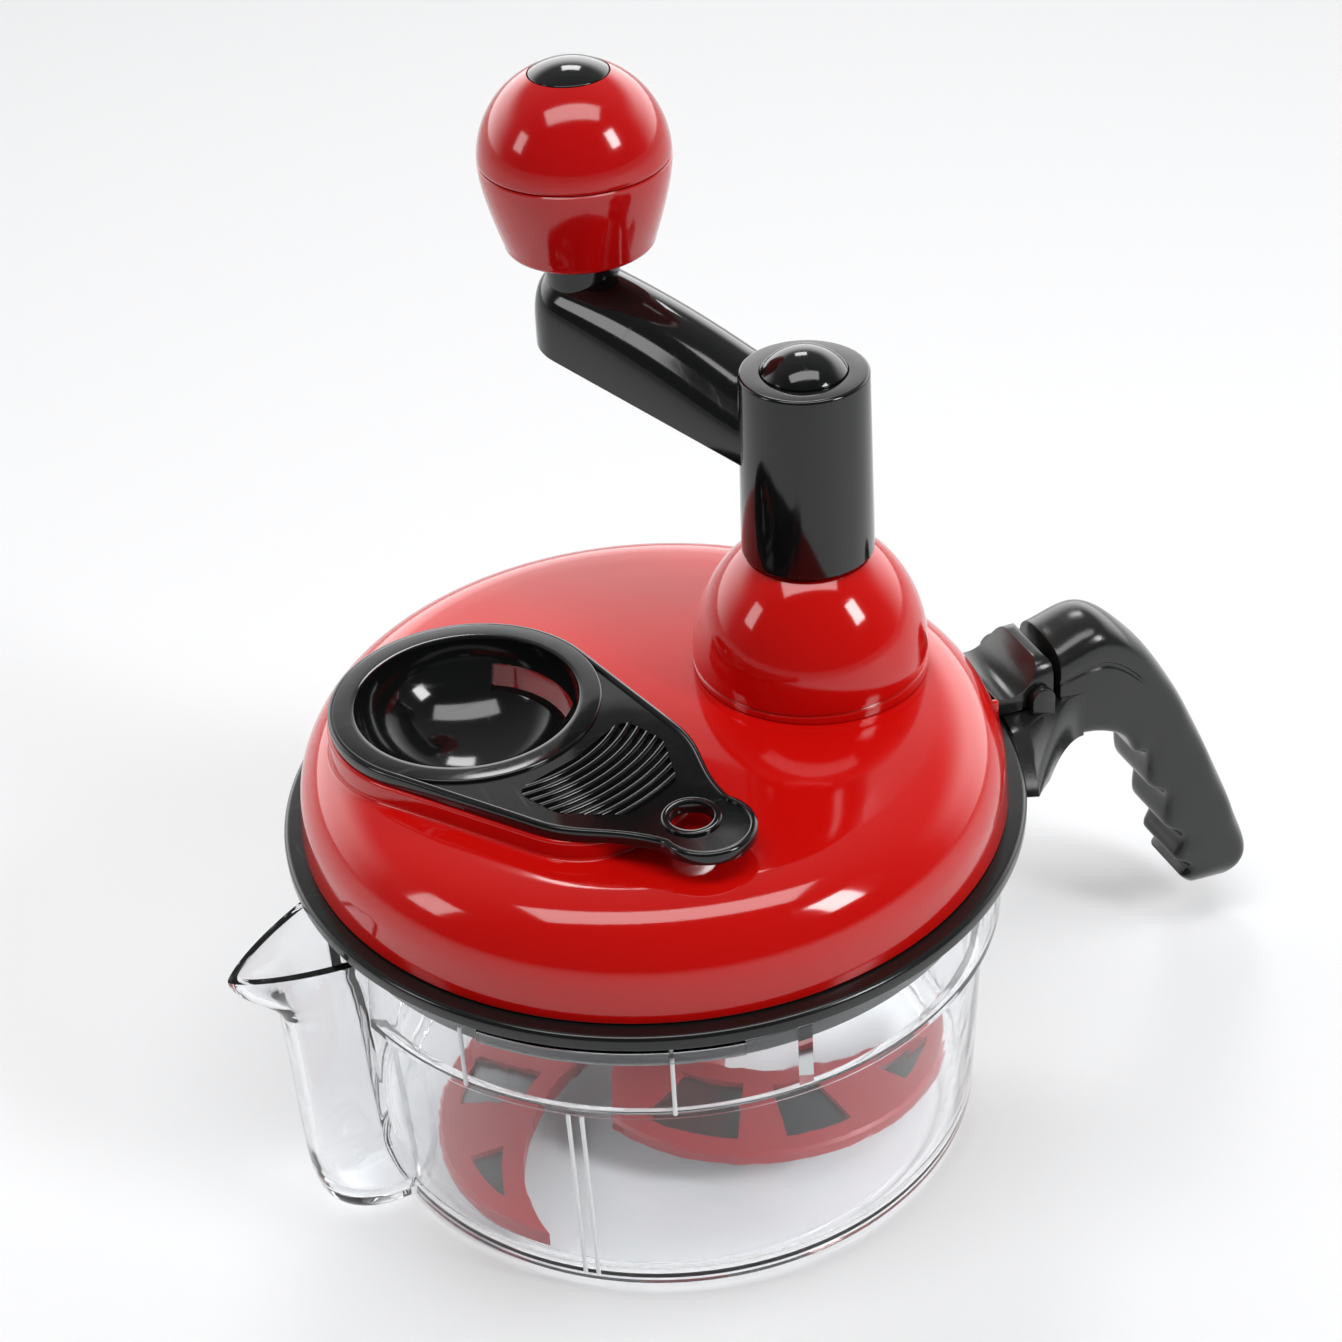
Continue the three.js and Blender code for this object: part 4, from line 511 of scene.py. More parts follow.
def flowing(keys, steps):
    # A smooth line through tuples of numbers, the first of which only grows
    slopes = []
    for i in range(len(keys)):
        before, after = keys[max(i - 1, 0)], keys[min(i + 1, len(keys) - 1)]
        slopes.append([(b - a) / (after[0] - before[0]) for a, b in zip(before, after)])
    line = []
    for i in range(len(keys) - 1):
        span = keys[i + 1][0] - keys[i][0]
        for k in range(steps + (i == len(keys) - 2)):
            line.append(tuple(hermite(a, b, m * span, n * span, k / steps)
                              for a, b, m, n in zip(keys[i], keys[i + 1], slopes[i], slopes[i + 1])))
    return line


def threaded(points, share):
    # The place a share of the way along a smooth line through points (x, z)
    points = [Vector(point) for point in points]
    points = [2 * points[0] - points[1], *points, 2 * points[-1] - points[-2]]
    place = share * (len(points) - 3)
    i = min(int(place), len(points) - 4)
    a, b, c, d = points[i:i + 4]
    before, here, after = ((q - p).length ** 0.5 for p, q in ((a, b), (b, c), (c, d)))
    slopeB = ((b - a) / before - (c - a) / (before + here) + (c - b) / here) * here
    slopeC = ((c - b) / here - (d - b) / (here + after) + (d - c) / after) * here
    return hermite(b, c, slopeB, slopeC, place - i)


def turned(made, degrees, centre=(0, 0), lift=0):
    # Turn about an upright axis at the origin, then move
    made.data.transform(Matrix.Translation(Vector((*centre, lift)) * mm)
                        @ Matrix.Rotation(math.radians(degrees), 4, "Z"))
    return made


def dress(made, finish, body, slot, *nodes):
    # The last step of every piece: its finish, its body and the solids it stands for
    made.data.materials.clear()
    made.data.materials.append(look[finish])
    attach(made, body)
    if nodes:
        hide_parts(*nodes)
    return made


# Repeats, by geometry nodes: bent bars along arcs round an upright axis

bars = {
    "inputs": {"First Radius": 0.03, "Radius Step": 0.0, "Turn Step": 0.0, "Start": 0.0, "Sweep": 1.0,
               "Width": 0.002, "Height": 0.002, "Round": 0.0005},
    "arcPoints": 28,
    "cornerPoints": 4,
}


def barTree():
    tree = bpy.data.node_groups.new("arcBars", "GeometryNodeTree")
    addSockets(tree, "INPUT", "NodeSocketInt", {"Count": 3})
    addSockets(tree, "INPUT", "NodeSocketFloat", bars["inputs"])
    addSockets(tree, "INPUT", "NodeSocketMaterial", {"Finish": None})
    addSockets(tree, "OUTPUT", "NodeSocketGeometry", {"Geometry": None})
    put = addNode(tree, "NodeGroupInput").outputs
    arcLine = addNode(tree, "GeometryNodeCurveArc", mode="RADIUS", inputs={
        "Resolution": bars["arcPoints"], "Radius": 1,
        "Start Angle": put["Start"], "Sweep Angle": put["Sweep"]})
    spots = addNode(tree, "GeometryNodePoints", {"Count": put["Count"]})
    index = addNode(tree, "GeometryNodeInputIndex").outputs["Index"]
    radius = maths(tree, "MULTIPLY_ADD", index, put["Radius Step"], put["First Radius"])
    scale = addNode(tree, "ShaderNodeCombineXYZ", {"X": radius, "Y": radius, "Z": 1.0})
    turn = addNode(tree, "ShaderNodeCombineXYZ", {"Z": maths(tree, "MULTIPLY", index, put["Turn Step"])})
    placed = addNode(tree, "GeometryNodeInstanceOnPoints", {
        "Points": spots.outputs[0], "Instance": arcLine.outputs["Curve"],
        "Rotation": turn.outputs["Vector"], "Scale": scale.outputs["Vector"]})
    lines = addNode(tree, "GeometryNodeRealizeInstances", {"Geometry": placed.outputs["Instances"]})
    section = addNode(tree, "GeometryNodeCurvePrimitiveQuadrilateral", {
        "Width": put["Width"], "Height": put["Height"]})
    rounded = addNode(tree, "GeometryNodeFilletCurve", mode="POLY", inputs={
        "Curve": section.outputs["Curve"], "Radius": put["Round"], "Limit Radius": True,
        "Count": bars["cornerPoints"]})
    swept = addNode(tree, "GeometryNodeCurveToMesh", {
        "Curve": lines.outputs["Geometry"], "Profile Curve": rounded.outputs["Curve"], "Fill Caps": True})
    whole = addNode(tree, "GeometryNodeRealizeInstances", {"Geometry": swept.outputs["Mesh"]})
    finished = addNode(tree, "GeometryNodeSetMaterial", {
        "Geometry": whole.outputs["Geometry"], "Material": put["Finish"]})
    fill(tree, addNode(tree, "NodeGroupOutput"), {"Geometry": finished.outputs["Geometry"]})
    return tree


arcBars = barTree()


def barsAlongArcs(name, values, finish):
    made = newObject(name, bpy.data.meshes.new(name))
    step = made.modifiers.new("bars", "NODES")
    step.node_group = arcBars
    sockets = {item.name: item.identifier for item in arcBars.interface.items_tree if item.in_out == "INPUT"}
    for label, value in values.items():
        step[sockets[label]] = value
    step[sockets["Finish"]] = look[finish]
    bake(made)
    settle(made)
    return made


# Bowl

bowl = {
    "foot": 77.9, "waist": 80.4, "mouth": 84.3, "wall": 2.4, "floor": 3.4, "ledge": 60.478, "ledgeRise": 2.4,
    "rim": 90.4, "footRound": 2.2, "floorRound": 6.0, "waistRound": 1.2, "mouthRound": 1.0, "rimRound": 0.3,
    "roundSteps": 7, "padRadius": 14.0, "recess": 0.8, "ringWidth": 7.0, "rimBand": 6.0, "above": 1.0,
    "spoutTurn": 185.0, "spoutRoot": 70.0, "spoutShoulder": 80.0, "spoutFloor": 3.0, "spoutSteps": 40,
    "spoutFade": (2.4, 61.6),   # the raised floor of the spout fades out over this height
    # height, half width, reach, how square the outline is, drop at the tip
    "spoutKeys": [
        (2.4, 9.36, 90.45, 2.3, 0), (4.864, 11.44, 95.7, 2.4, 0), (10.41, 12.61, 98.42, 2.5, 0),
        (23.96, 13.0, 99.33, 2.5, 0), (64.0, 13.0, 100.7, 2.4, 0), (71.42, 13.75, 103.39, 2.1, 1.82),
        (77.99, 14.8, 109.21, 1.7, 3.43), (82.23, 15.7, 111.45, 1.45, 4.47), (85.2, 16.0, 111.9, 1.35, 5.2),
    ],
    "lugs": 3, "lugTurn": -119.5, "lugSweep": 41.0, "lugLow": 81.0, "lugHigh": 85.0,
    "lugProud": 2.3, "lugRound": 0.8,
    "bossRadius": 5.4, "bossTop": 4.4, "bossRound": 0.4, "socketRadius": 3.3, "socketFloor": 1.4,
}


def bowlSide():
    # The outside from the floor's middle up to the rim
    foot, waist, mouth, ledge, recess, pad = (bowl[key] for key in (
        "foot", "waist", "mouth", "ledge", "recess", "padRadius"))
    inner = foot - bowl["footRound"] - bowl["ringWidth"]
    return softened([
        (0, 0), (pad, 0), (pad, recess), (inner, recess), (inner, 0), (foot, 0, bowl["footRound"]),
        (waist, ledge, bowl["waistRound"]), (mouth, ledge + bowl["ledgeRise"], bowl["mouthRound"]),
        (mouth, bowl["rim"], bowl["rimRound"]), (0, bowl["rim"]),
    ], bowl["roundSteps"])


def bowlRoom():
    foot, waist, mouth = (bowl[key] - bowl["wall"] for key in ("foot", "waist", "mouth"))
    half, top = bowl["wall"] / 2, bowl["rim"] + bowl["above"]
    return softened([
        (0, bowl["floor"]), (foot, bowl["floor"], bowl["floorRound"]),
        (waist, bowl["ledge"] + half, bowl["mouthRound"]),
        (mouth, bowl["ledge"] + bowl["ledgeRise"] + half, bowl["waistRound"]), (mouth, top), (0, top),
    ], bowl["roundSteps"])


def spoutRings(inset, lift):
    rings, steps = [], bowl["spoutSteps"]
    low, span = bowl["spoutFade"]
    for height, half, reach, square, drop in flowing(bowl["spoutKeys"], 5):
        height += lift * max(0.0, 1 - (height - low) / span)
        ring = [(bowl["spoutRoot"], inset - half, height)]
        for i in range(steps + 1):
            angle = math.pi * (i / steps - 0.5)
            out = abs(math.cos(angle)) ** (2 / square)
            side = math.copysign(abs(math.sin(angle)) ** (2 / square), angle)
            along = mix(bowl["spoutShoulder"], reach - inset, out)
            ring.append((along, side * (half - inset), height - drop * out))
        ring.append((bowl["spoutRoot"], half - inset, height))
        rings.append(ring)
    if inset:
        rings.append([(x, y, bowl["rim"] + bowl["above"]) for x, y, z in rings[-1]])
    return rings


def makeBowl():
    made = spun("bowl", bowlSide())
    carve(made, turned(lofted("spoutSkin", spoutRings(0, 0)), bowl["spoutTurn"]), "UNION")
    room = spun("bowlRoom", bowlRoom())
    spoutRoom = lofted("spoutRoom", spoutRings(bowl["wall"], bowl["spoutFloor"]))
    carve(room, turned(spoutRoom, bowl["spoutTurn"]), "UNION")
    carve(made, room)
    mouth, rim, floor, boss = bowl["mouth"], bowl["rim"], bowl["floor"], bowl["bossRadius"]
    inner, low = mouth - bowl["wall"], rim - bowl["rimBand"]
    band = softened([(inner, rim), (inner, low), (mouth, low), (mouth, rim, bowl["rimRound"]), (inner, rim)],
                    bowl["roundSteps"])[:-1]
    carve(made, spun("rimBand", band), "UNION")
    low, high, sweep = bowl["lugLow"], bowl["lugHigh"], bowl["lugSweep"]
    lugWidth = bowl["wall"] / 2 + bowl["lugProud"]
    lugs = barsAlongArcs("lugs", {
        "Count": bowl["lugs"], "First Radius": (mouth + bowl["lugProud"] - lugWidth / 2) * mm,
        "Turn Step": math.radians(360 / bowl["lugs"]), "Start": math.radians(bowl["lugTurn"] - sweep / 2),
        "Sweep": math.radians(sweep), "Width": lugWidth * mm, "Height": (high - low) * mm,
        "Round": bowl["lugRound"] * mm,
    }, "clearPlastic")
    lugs.data.transform(Matrix.Translation((0, 0, (high + low) / 2 * mm)))
    carve(made, lugs, "UNION")
    side = softened([(0, floor - 1), (boss, floor - 1), (boss, bowl["bossTop"], bowl["bossRound"]),
                     (0, bowl["bossTop"])])
    carve(made, spun("boss", side, steps=48), "UNION")
    carve(made, rod("socket", bowl["socketRadius"], bowl["socketFloor"], bowl["bossTop"] + 1), crease=28)
    made.visible_shadow = False     # clear walls let the studio's light through to the floor
    return dress(made, "clearPlastic", "base", "clear_plastic", "bowl")


# The frosted marks: two lines of the scale and one beside each end of the front lug; with them a white ring
# inside the foot, a painted highlight for the pale glare in the bowl's foot

marks = {
    "scaleTurn": -126.5, "scaleSpacing": 3.2, "scaleFoot": 5.6,
    "scaleGap": 1.4,                    # under the ledge
    "pourTurns": (-144.0, -110.0), "pourGap": 1.2, "pourHeight": 18.0,
    "width": 1.0, "proud": 0.55, "sink": 0.15, "edge": 0.3, "edgeDrop": 0.25,
    "foot": (71.2, 75.6, 76.3, 0.24),   # the ring of painted glare inside the foot: inner, outer and upper outer radius, height
}


def markStrip(offset, low, high):
    # An upright line from one (height, radius) to another, with its edges taken off
    half, edge, drop = marks["width"] / 2, marks["edge"], marks["edgeDrop"]
    rings = []
    for (height, radius), inset, way in ((low, edge, 1), (low, 0, 1), (high, 0, -1), (high, edge, -1)):
        level = height + (edge - inset) * way
        reach, back = radius + marks["proud"] - inset, radius - marks["sink"]
        rings.append([(reach, offset - half + edge, level), (reach, offset + half - edge, level),
                      (reach - drop, offset + half, level), (back, offset + half, level),
                      (back, offset - half, level), (reach - drop, offset - half, level)])
    return lofted("mark", rings, flatEnds=True)


def makeMarksAndFootGlare():
    taper = (bowl["waist"] - bowl["foot"]) / bowl["ledge"]
    ends = [(height, bowl["foot"] + taper * height)
            for height in (marks["scaleFoot"], bowl["ledge"] - marks["scaleGap"])]
    offset = marks["scaleSpacing"] / 2
    strips = [turned(markStrip(side, *ends), marks["scaleTurn"]) for side in (-offset, offset)]
    low = bowl["ledge"] + bowl["ledgeRise"] + marks["pourGap"]
    ends = [(height, bowl["mouth"]) for height in (low, low + marks["pourHeight"])]
    strips += [turned(markStrip(0, *ends), turn) for turn in marks["pourTurns"]]
    inner, foot, outer, height = marks["foot"]
    # a white ring inside the glass foot: painted highlight for the pale glare there, not a real mark
    strips.append(spun("footFrost", [(inner, 0), (foot, 0), (outer, height), (inner, height)]))
    made = joined("bowlMarks", strips)
    settle(made)
    return dress(made, "frostAndPaintedGlare", "base", "clear_plastic")


makeBowl()
makeMarksAndFootGlare()
print("bowl ready")

# Rim collar

collar = {
    "inner": 81.9, "overRim": 90.7, "clear": 84.6, "radius": 90.0, "top": 92.3, "under": 88.75,
    "round": 1.3, "underRound": 0.35, "lipRound": 0.5, "tongueHalf": 10.0, "tongueReach": 100.98,
    "tongueLow": 86.0, "tongueHigh": 90.2, "tongueEdge": 0.4,
    "screwReach": 95.98, "screwOffset": 5.4, "screwRadius": 1.9,
}


def makeCollar():
    inner, clear, radius, top, under, over = (collar[key] for key in (
        "inner", "clear", "radius", "top", "under", "overRim"))
    made = spun("rimCollar", softened([
        (clear, under), (radius, under, collar["underRound"]), (radius, top, collar["round"]),
        (inner, top, collar["lipRound"]), (inner, over), (clear, over), (clear, under)], 8)[:-1], steps=192)
    half, low, high = collar["tongueHalf"], collar["tongueLow"], collar["tongueHigh"]
    tongue = block("tongue", (radius - collar["round"], collar["tongueReach"]), (-half, half), (low, high))
    carve(made, bevelled(tongue, collar["tongueEdge"]), "UNION")
    holes = [rod("hole", collar["screwRadius"], low - 1, high - 0.3,
                 (collar["screwReach"], side * collar["screwOffset"]), 24) for side in (-1, 1)]
    carve(made, joined("holes", holes))
    return dress(made, "collarBlack", "base", "black_gloss", "rim_collar")


makeCollar()

# Side handle: a grip lofted between its inner and outer edges, and a root that spreads to the collar

handle = {
    # out from the bowl's middle and up, from the neck to the tip
    "inner": [(105.78, 79.0), (119.02, 76.98), (126.48, 72.55), (131.47, 62.03),
              (137.98, 45.97), (143.53, 30.0), (145.99, 20.49), (150.51, 14.49)],
    "outer": [(105.78, 106.61), (119.02, 109.65), (131.0, 99.96), (142.97, 81.96),
              (154.0, 58.98), (163.27, 37.01), (168.5, 20.49), (165.02, 13.48)],
    "halfWidth": 11.0, "tipHalfWidth": 9.6, "endHalfWidth": 6.5, "stations": 132,
    # one side of the section, in shares of its height and half width, from the inner edge on
    "section": [(0, 0.42), (0, 0.76), (0.008, 0.84), (0.03, 0.92), (0.07, 0.985), (0.12, 1), (0.4, 1)],
    "ridge": 0.68, "ridgeStep": 0.012, "backSteps": 34, "backSquare": 0.62, "edge": 1.0,
    "grooveDepth": 0.5, "grooveWidth": 0.035, "grooveEnd": 0.32, "grooveFade": 0.05,
    "scallops": 4, "scallopDepth": 3.2, "scallopStart": 0.36, "scallopEnd": 0.9,
    "flareSweep": 22.0, "flareTopSweep": 11.5, "flareTipWidth": 3.4, "flareReach": 113.0, "flarePull": 0.62,
    "flareTipUnder": 84.6, "neckUnder": 79.0, "flareTop": 92.3, "flareLevels": 6, "flareCurve": 1.4,
    "flareEdge": 0.9, "flareInside": 70, "flareOutside": 120, "flareHalf": 60,
    "pinReach": 99.38, "pinHeight": 96.2, "pinRadius": 1.5, "pinEnd": 13.8, "pinEdge": 0.2,
    "earInner": 11.8, "ear": 2.6, "earRadius": 3.2, "earFoot": 90.0, "earEdge": 0.45,
    "screwSeat": 83.4, "screwTop": 90, "headRadius": 3.3, "gap": 0.3, "roomTop": 110,
}


def handleRing(share):
    inner, outer = threaded(handle["inner"], share), threaded(handle["outer"], share)
    along = (share - handle["scallopStart"]) / (handle["scallopEnd"] - handle["scallopStart"])
    if 0 < along < 1:
        wave = (1 - math.cos(2 * math.pi * handle["scallops"] * along)) / 2
        inner = inner.lerp(outer, handle["scallopDepth"] * wave / (outer - inner).length)
    tipStart = 1 - 1 / (len(handle["inner"]) - 1)
    half = mix(handle["halfWidth"], handle["tipHalfWidth"], min(1, share / tipStart))
    if share > tipStart:
        half = mix(handle["tipHalfWidth"], handle["endHalfWidth"], ((share - tipStart) / (1 - tipStart)) ** 2)
    ridge, step, band = handle["ridge"], handle["ridgeStep"], handle["grooveWidth"]
    fade = (handle["grooveEnd"] - share) / handle["grooveFade"]
    depth = handle["grooveDepth"] / half * max(0, min(1, fade))
    right = handle["section"] + [(ridge - band - step, 1), (ridge - band, 1 - depth), (ridge, 1 - depth),
                                 (ridge + step, 1)]
    left = [(up, -side) for up, side in reversed(right)]
    steps = handle["backSteps"]
    for i in range(1, steps):
        angle = math.pi * i / steps
        right.append((mix(ridge + step, 1, math.sin(angle) ** handle["backSquare"]), math.cos(angle)))
    return [(*(inner.lerp(outer, up)), side * half) for up, side in right + left]


def flarePlan(degrees, height):
    # The root from above at one height: two sides that sweep out of the neck to the collar
    turn, inner = math.radians(degrees), collar["radius"] + handle["gap"]
    outer, reach, half = inner + handle["flareTipWidth"], handle["flareReach"], handle["halfWidth"]
    start = (outer * math.cos(turn), outer * math.sin(turn))
    sweep = curved(start, (mix(outer, reach, handle["flarePull"]), half), (reach, half), 22)
    line = [(x, -y) for x, y in sweep] + [(x, y) for x, y in reversed(sweep)]
    return [(x, y, height) for x, y in line + arc((0, 0), inner, degrees, -degrees, 40)]


def makeFlare():
    sweep, steps = handle["flareSweep"], handle["flareLevels"]
    neck, low, high = handle["neckUnder"], handle["flareTipUnder"], handle["flareTop"]
    levels = [(sweep, neck - 1)]
    for share in (i / steps for i in range(steps + 1)):
        turn = mix(sweep, handle["flareTopSweep"], share ** handle["flareCurve"])
        levels.append((turn, mix(low, high, share)))
    flare = lofted("flare", [flarePlan(*level) for level in levels], 40, True)
    corner = polar(collar["radius"] + handle["gap"] + handle["flareTipWidth"], sweep)[0]
    inside, outside, half = handle["flareInside"], handle["flareOutside"], handle["flareHalf"]
    side = [(inside, high + 1), (outside, high + 1), (outside, neck), (collar["screwReach"], neck),
            (corner, low), (inside, low)]
    carve(flare, crossPrism("sideShape", side, -half, half), "INTERSECT")
    return bevelled(flare, handle["flareEdge"], 40, 3)


def acrossRod(name, radius, low, high, steps=32):
    # A rod along Y at the latch pin's place
    made = rod(name, radius, low, high, steps=steps)
    place = Matrix.Translation(Vector((handle["pinReach"], 0, handle["pinHeight"])) * mm)
    made.data.transform(place @ Matrix.Rotation(math.radians(90), 4, "X"))
    return made


def makeHandle():
    count, gap, neck = handle["stations"], handle["gap"], handle["neckUnder"]
    rings = [[(x, y, z) for x, z, y in handleRing(i / count)] for i in range(count + 1)]
    made = lofted("sideHandle", rings, 40, True)
    bevelled(made, handle["edge"], 40, 3)
    carve(made, makeFlare(), "UNION", 40)
    reach, height, radius, foot = (handle[key] for key in ("pinReach", "pinHeight", "earRadius", "earFoot"))
    shape = [(reach + radius, foot)] + arc((reach, height), radius, 0, 180, 20) + [(reach - radius, foot)]
    for low in (-handle["earInner"] - handle["ear"], handle["earInner"]):
        ear = crossPrism("ear", shape, low, low + handle["ear"])
        carve(made, bevelled(ear, handle["earEdge"], 30, 2), "UNION", 40)
    tools = [rod("collarRoom", collar["radius"] + gap, neck - 2, handle["roomTop"], steps=288)]
    half = collar["tongueHalf"] + gap
    tools.append(block("tonguePocket", (handle["flareInside"], collar["tongueReach"] + gap), (-half, half),
                       (collar["tongueLow"] - gap, collar["tongueHigh"] + gap)))
    end = handle["pinEnd"] + 0.1
    tools.append(acrossRod("pinHole", handle["pinRadius"] + gap, -end, end))
    for way in (-1, 1):
        place = (collar["screwReach"], way * collar["screwOffset"])
        tools.append(rod("screwHole", collar["screwRadius"], neck - 1, handle["screwTop"], place, 24))
        tools.append(rod("headWell", handle["headRadius"], neck - 2, handle["screwSeat"], place, 32))
    for tool in tools:
        carve(made, tool, crease=40)
    return dress(made, "blackSatin", "base", "black_handle", "side_handle")


makeHandle()
pin = acrossRod("latchPin", handle["pinRadius"], -handle["pinEnd"], handle["pinEnd"])
dress(bevelled(pin, handle["pinEdge"]), "screwSteel", "base", "screw_steel", "latch_pin")
print("collar and handle ready")

# Thumb latch: a dished pad with a raised lip at the back

latch = {
    "front": 87.2, "back": 103.38, "under": 93.2, "heelRise": 1.0, "shoulder": 98.6, "crown": 105.2,
    "halfWidth": 11.5, "lip": 3.6, "padDepth": 3.4, "edge": 0.7, "boreGap": 0.35, "boreHalf": 13,
}


def makeLatch():
    front, back, under = latch["front"], latch["back"], latch["under"]
    shoulder, crown, half, lip = latch["shoulder"], latch["crown"], latch["halfWidth"], latch["lip"]
    middle = ((front + back) / 2, shoulder - latch["padDepth"])
    dish = curved((back - lip, crown), middle, (front, shoulder), 20)
    side = softened([(front, under), (handle["pinReach"], under), (back, under + latch["heelRise"]),
                     (back, crown, lip / 2), (back - lip, crown)], 6)[:-1] + dish
    made = crossPrism("thumbLatch", side, -half, half)
    arch = curved((half, shoulder), (half, crown), (half / 2, crown), 16)
    face = [(-half, under - 1), (half, under - 1)] + arch + [(-y, z) for y, z in reversed(arch)]
    across = crossPrism("latchFace", face, -back - 1, -front + 1)
    carve(made, turned(across, 90), "INTERSECT", 30)
    bevelled(made, latch["edge"], 30, 3)
    bore = handle["pinRadius"] + latch["boreGap"]
    carve(made, acrossRod("latchBore", bore, -latch["boreHalf"], latch["boreHalf"]), crease=30)
    return dress(made, "blackSatin", "latch", "black_handle", "thumb_latch")


makeLatch()
print("latch ready")

# Lid cover, with the raised deck under the separator and the chute down from it

teardrop = {
    # shares of the cup's radius
    "head": 1.238, "shoulderAlong": 1.7, "shoulderWidth": 0.906, "shoulderPull": 0.453,
    "tabAlong": 2.845, "tab": 0.428, "tabAngle": 105.0, "tabPull": 0.5,
    "bossEnd": 2.377, "bossEndPull": 0.491,
}

lid = {
    "foot": 92.6, "footRadius": 85.6, "footEdge": 0.45, "footRise": 0.5, "shoulderRadius": 84.93,
    "shoulderHeight": 99.9, "shoulderRound": 17.4, "roundSweep": 87, "flatHeight": 117.3, "crownRise": 1.4,
    "wall": 2.4, "gap": 0.3, "postSkin": 1.4,
    "roomFlat": 69.5, "roomShoulder": 102.47, "roomRound": 13.03, "roomHeight": 115.5, "roomRise": 2.0,
    "bossInset": -0.5, "bossTop": 122.5, "bossEdge": 0.9, "bossFoot": 0.8, "bossWall": 3.6, "bossDeck": 2.2,
    "bossRoot": 110.0,
    "cupRadius": 26.5, "cupPlace": (-41.784, 9.723), "cupTurn": -64.8,
    "chuteRadius": 28.5, "chuteWall": 1.6, "plateTop": 91.5,
    "catchRib": {"root": 84.2, "width": 1.6, "proud": 1.4, "height": 7.0, "spacing": 26.0, "edge": 0.5},
    "postReach": 71.5, "postRadius": 3.6, "pilotRadius": 1.8, "pilotTop": 103.5,
    "postTurns": (60.0, 121.0, -113.0, -60.0), "screwTurns": (0, 120, 240),
    "crankReach": 42.5, "shaftHole": 10.75, "screwReach": 19.5, "screwRadius": 1.6,
    "gearTop": 106.0, "above": 125,
    "pinionBoss": 5.55, "pinionBore": 3.35, "pinionBoreTop": 113.85,
}


def bezier(a, b, c, d, steps):
    points = [Vector(p) for p in (a, b, c, d)]
    line = []
    for i in range(1, steps + 1):
        t = i / steps
        ab, bc, cd = (p.lerp(q, t) for p, q in zip(points, points[1:]))
        line.append(tuple(ab.lerp(bc, t).lerp(bc.lerp(cd, t), t)))
    return line


def teardropLine(inset, tail):
    # Seen from above, the round head at the origin and the tail along +X
    cup, share = lid["cupRadius"], teardrop
    head = cup * share["head"] - inset
    shoulder = Vector((cup * share["shoulderAlong"], cup * share["shoulderWidth"] - inset))
    touch = math.atan2(shoulder.y, shoulder.x) + math.acos(head / shoulder.length)
    pull = Vector((math.sin(touch), -math.cos(touch))) * cup * share["shoulderPull"]
    near = shoulder + pull
    if tail == "tab":
        angle, along = math.radians(share["tabAngle"]), cup * share["tabAlong"]
        radius, tabPull = cup * share["tab"] - inset, cup * share["tabPull"]
        neck = Vector((along + radius * math.cos(angle), radius * math.sin(angle)))
        nearNeck = neck + Vector((-math.sin(angle), -math.cos(angle))) * tabPull
        side = bezier(shoulder, near, nearNeck, neck, 18)
        end = arc((along, 0), radius, share["tabAngle"], 0, 22)[1:]
    else:
        reach, endPull = cup * share["bossEnd"] - inset, cup * share["bossEndPull"]
        side = bezier(shoulder, near, (reach, endPull), (reach, 0), 26)
        end = []
    start = Vector((head * math.cos(touch), head * math.sin(touch)))
    wall = [tuple(start.lerp(shoulder, i / 8)) for i in range(1, 9)]
    half = arc((0, 0), head, 180, math.degrees(touch), 44) + wall + side + end
    return half + [(x, -y) for x, y in reversed(half[1:-1])]


def placedCup(points):
    turn = math.radians(lid["cupTurn"])
    x, y = lid["cupPlace"]
    return [(x + a * math.cos(turn) - b * math.sin(turn), y + a * math.sin(turn) + b * math.cos(turn))
            for a, b in points]


def deckLine(inset):
    return placedCup(teardropLine(lid["bossInset"] + inset, "boss"))


def lidSide(raised, foot):
    flat = lid["shoulderRadius"] - lid["shoulderRound"]
    side = [(lid["footRadius"], foot), (lid["footRadius"], lid["foot"] + lid["footRise"] + raised)]
    side += arc((flat, lid["shoulderHeight"] + raised), lid["shoulderRound"], 0, lid["roundSweep"], 26)
    side += [(flat * i / 16, lidCrown(flat * i / 16) + raised) for i in range(15, -1, -1)]
    return side


def lidCrown(radius):
    flat = lid["shoulderRadius"] - lid["shoulderRound"]
    return lid["flatHeight"] + lid["crownRise"] * (1 - (radius / flat) ** 2)


def lidSurface(x, y):
    radius, bend = math.hypot(x, y), lid["shoulderRound"]
    flat = lid["shoulderRadius"] - bend
    if radius < flat:
        return lidCrown(radius)
    return lid["shoulderHeight"] + math.sqrt(max(0, bend ** 2 - min(bend, radius - flat) ** 2))


def makeDeck():
    # Its wall flares out at the foot, where it meets the lid, and rolls over at the top
    edge, foot, top = lid["bossEdge"], lid["bossFoot"], lid["bossTop"]
    flare = [(foot + 0.4, -1.6), (foot, -0.05)]
    for i in range(1, 11):
        angle = math.radians(9 * i)
        flare.append((foot * (1 - math.sin(angle)), foot * (1 - math.cos(angle))))
    rings = [[(x, y, lidSurface(x, y) + up) for x, y in deckLine(-out)] for out, up in flare]
    rings[0] = [(x, y, min(z, lid["bossRoot"])) for x, y, z in rings[0]]
    for i in range(7):
        angle = math.radians(15 * i)
        level = top - edge * (1 - math.sin(angle))
        rings.append([(x, y, level) for x, y in deckLine(edge * (1 - math.cos(angle)))])
    return lofted("boss", rings, 30)


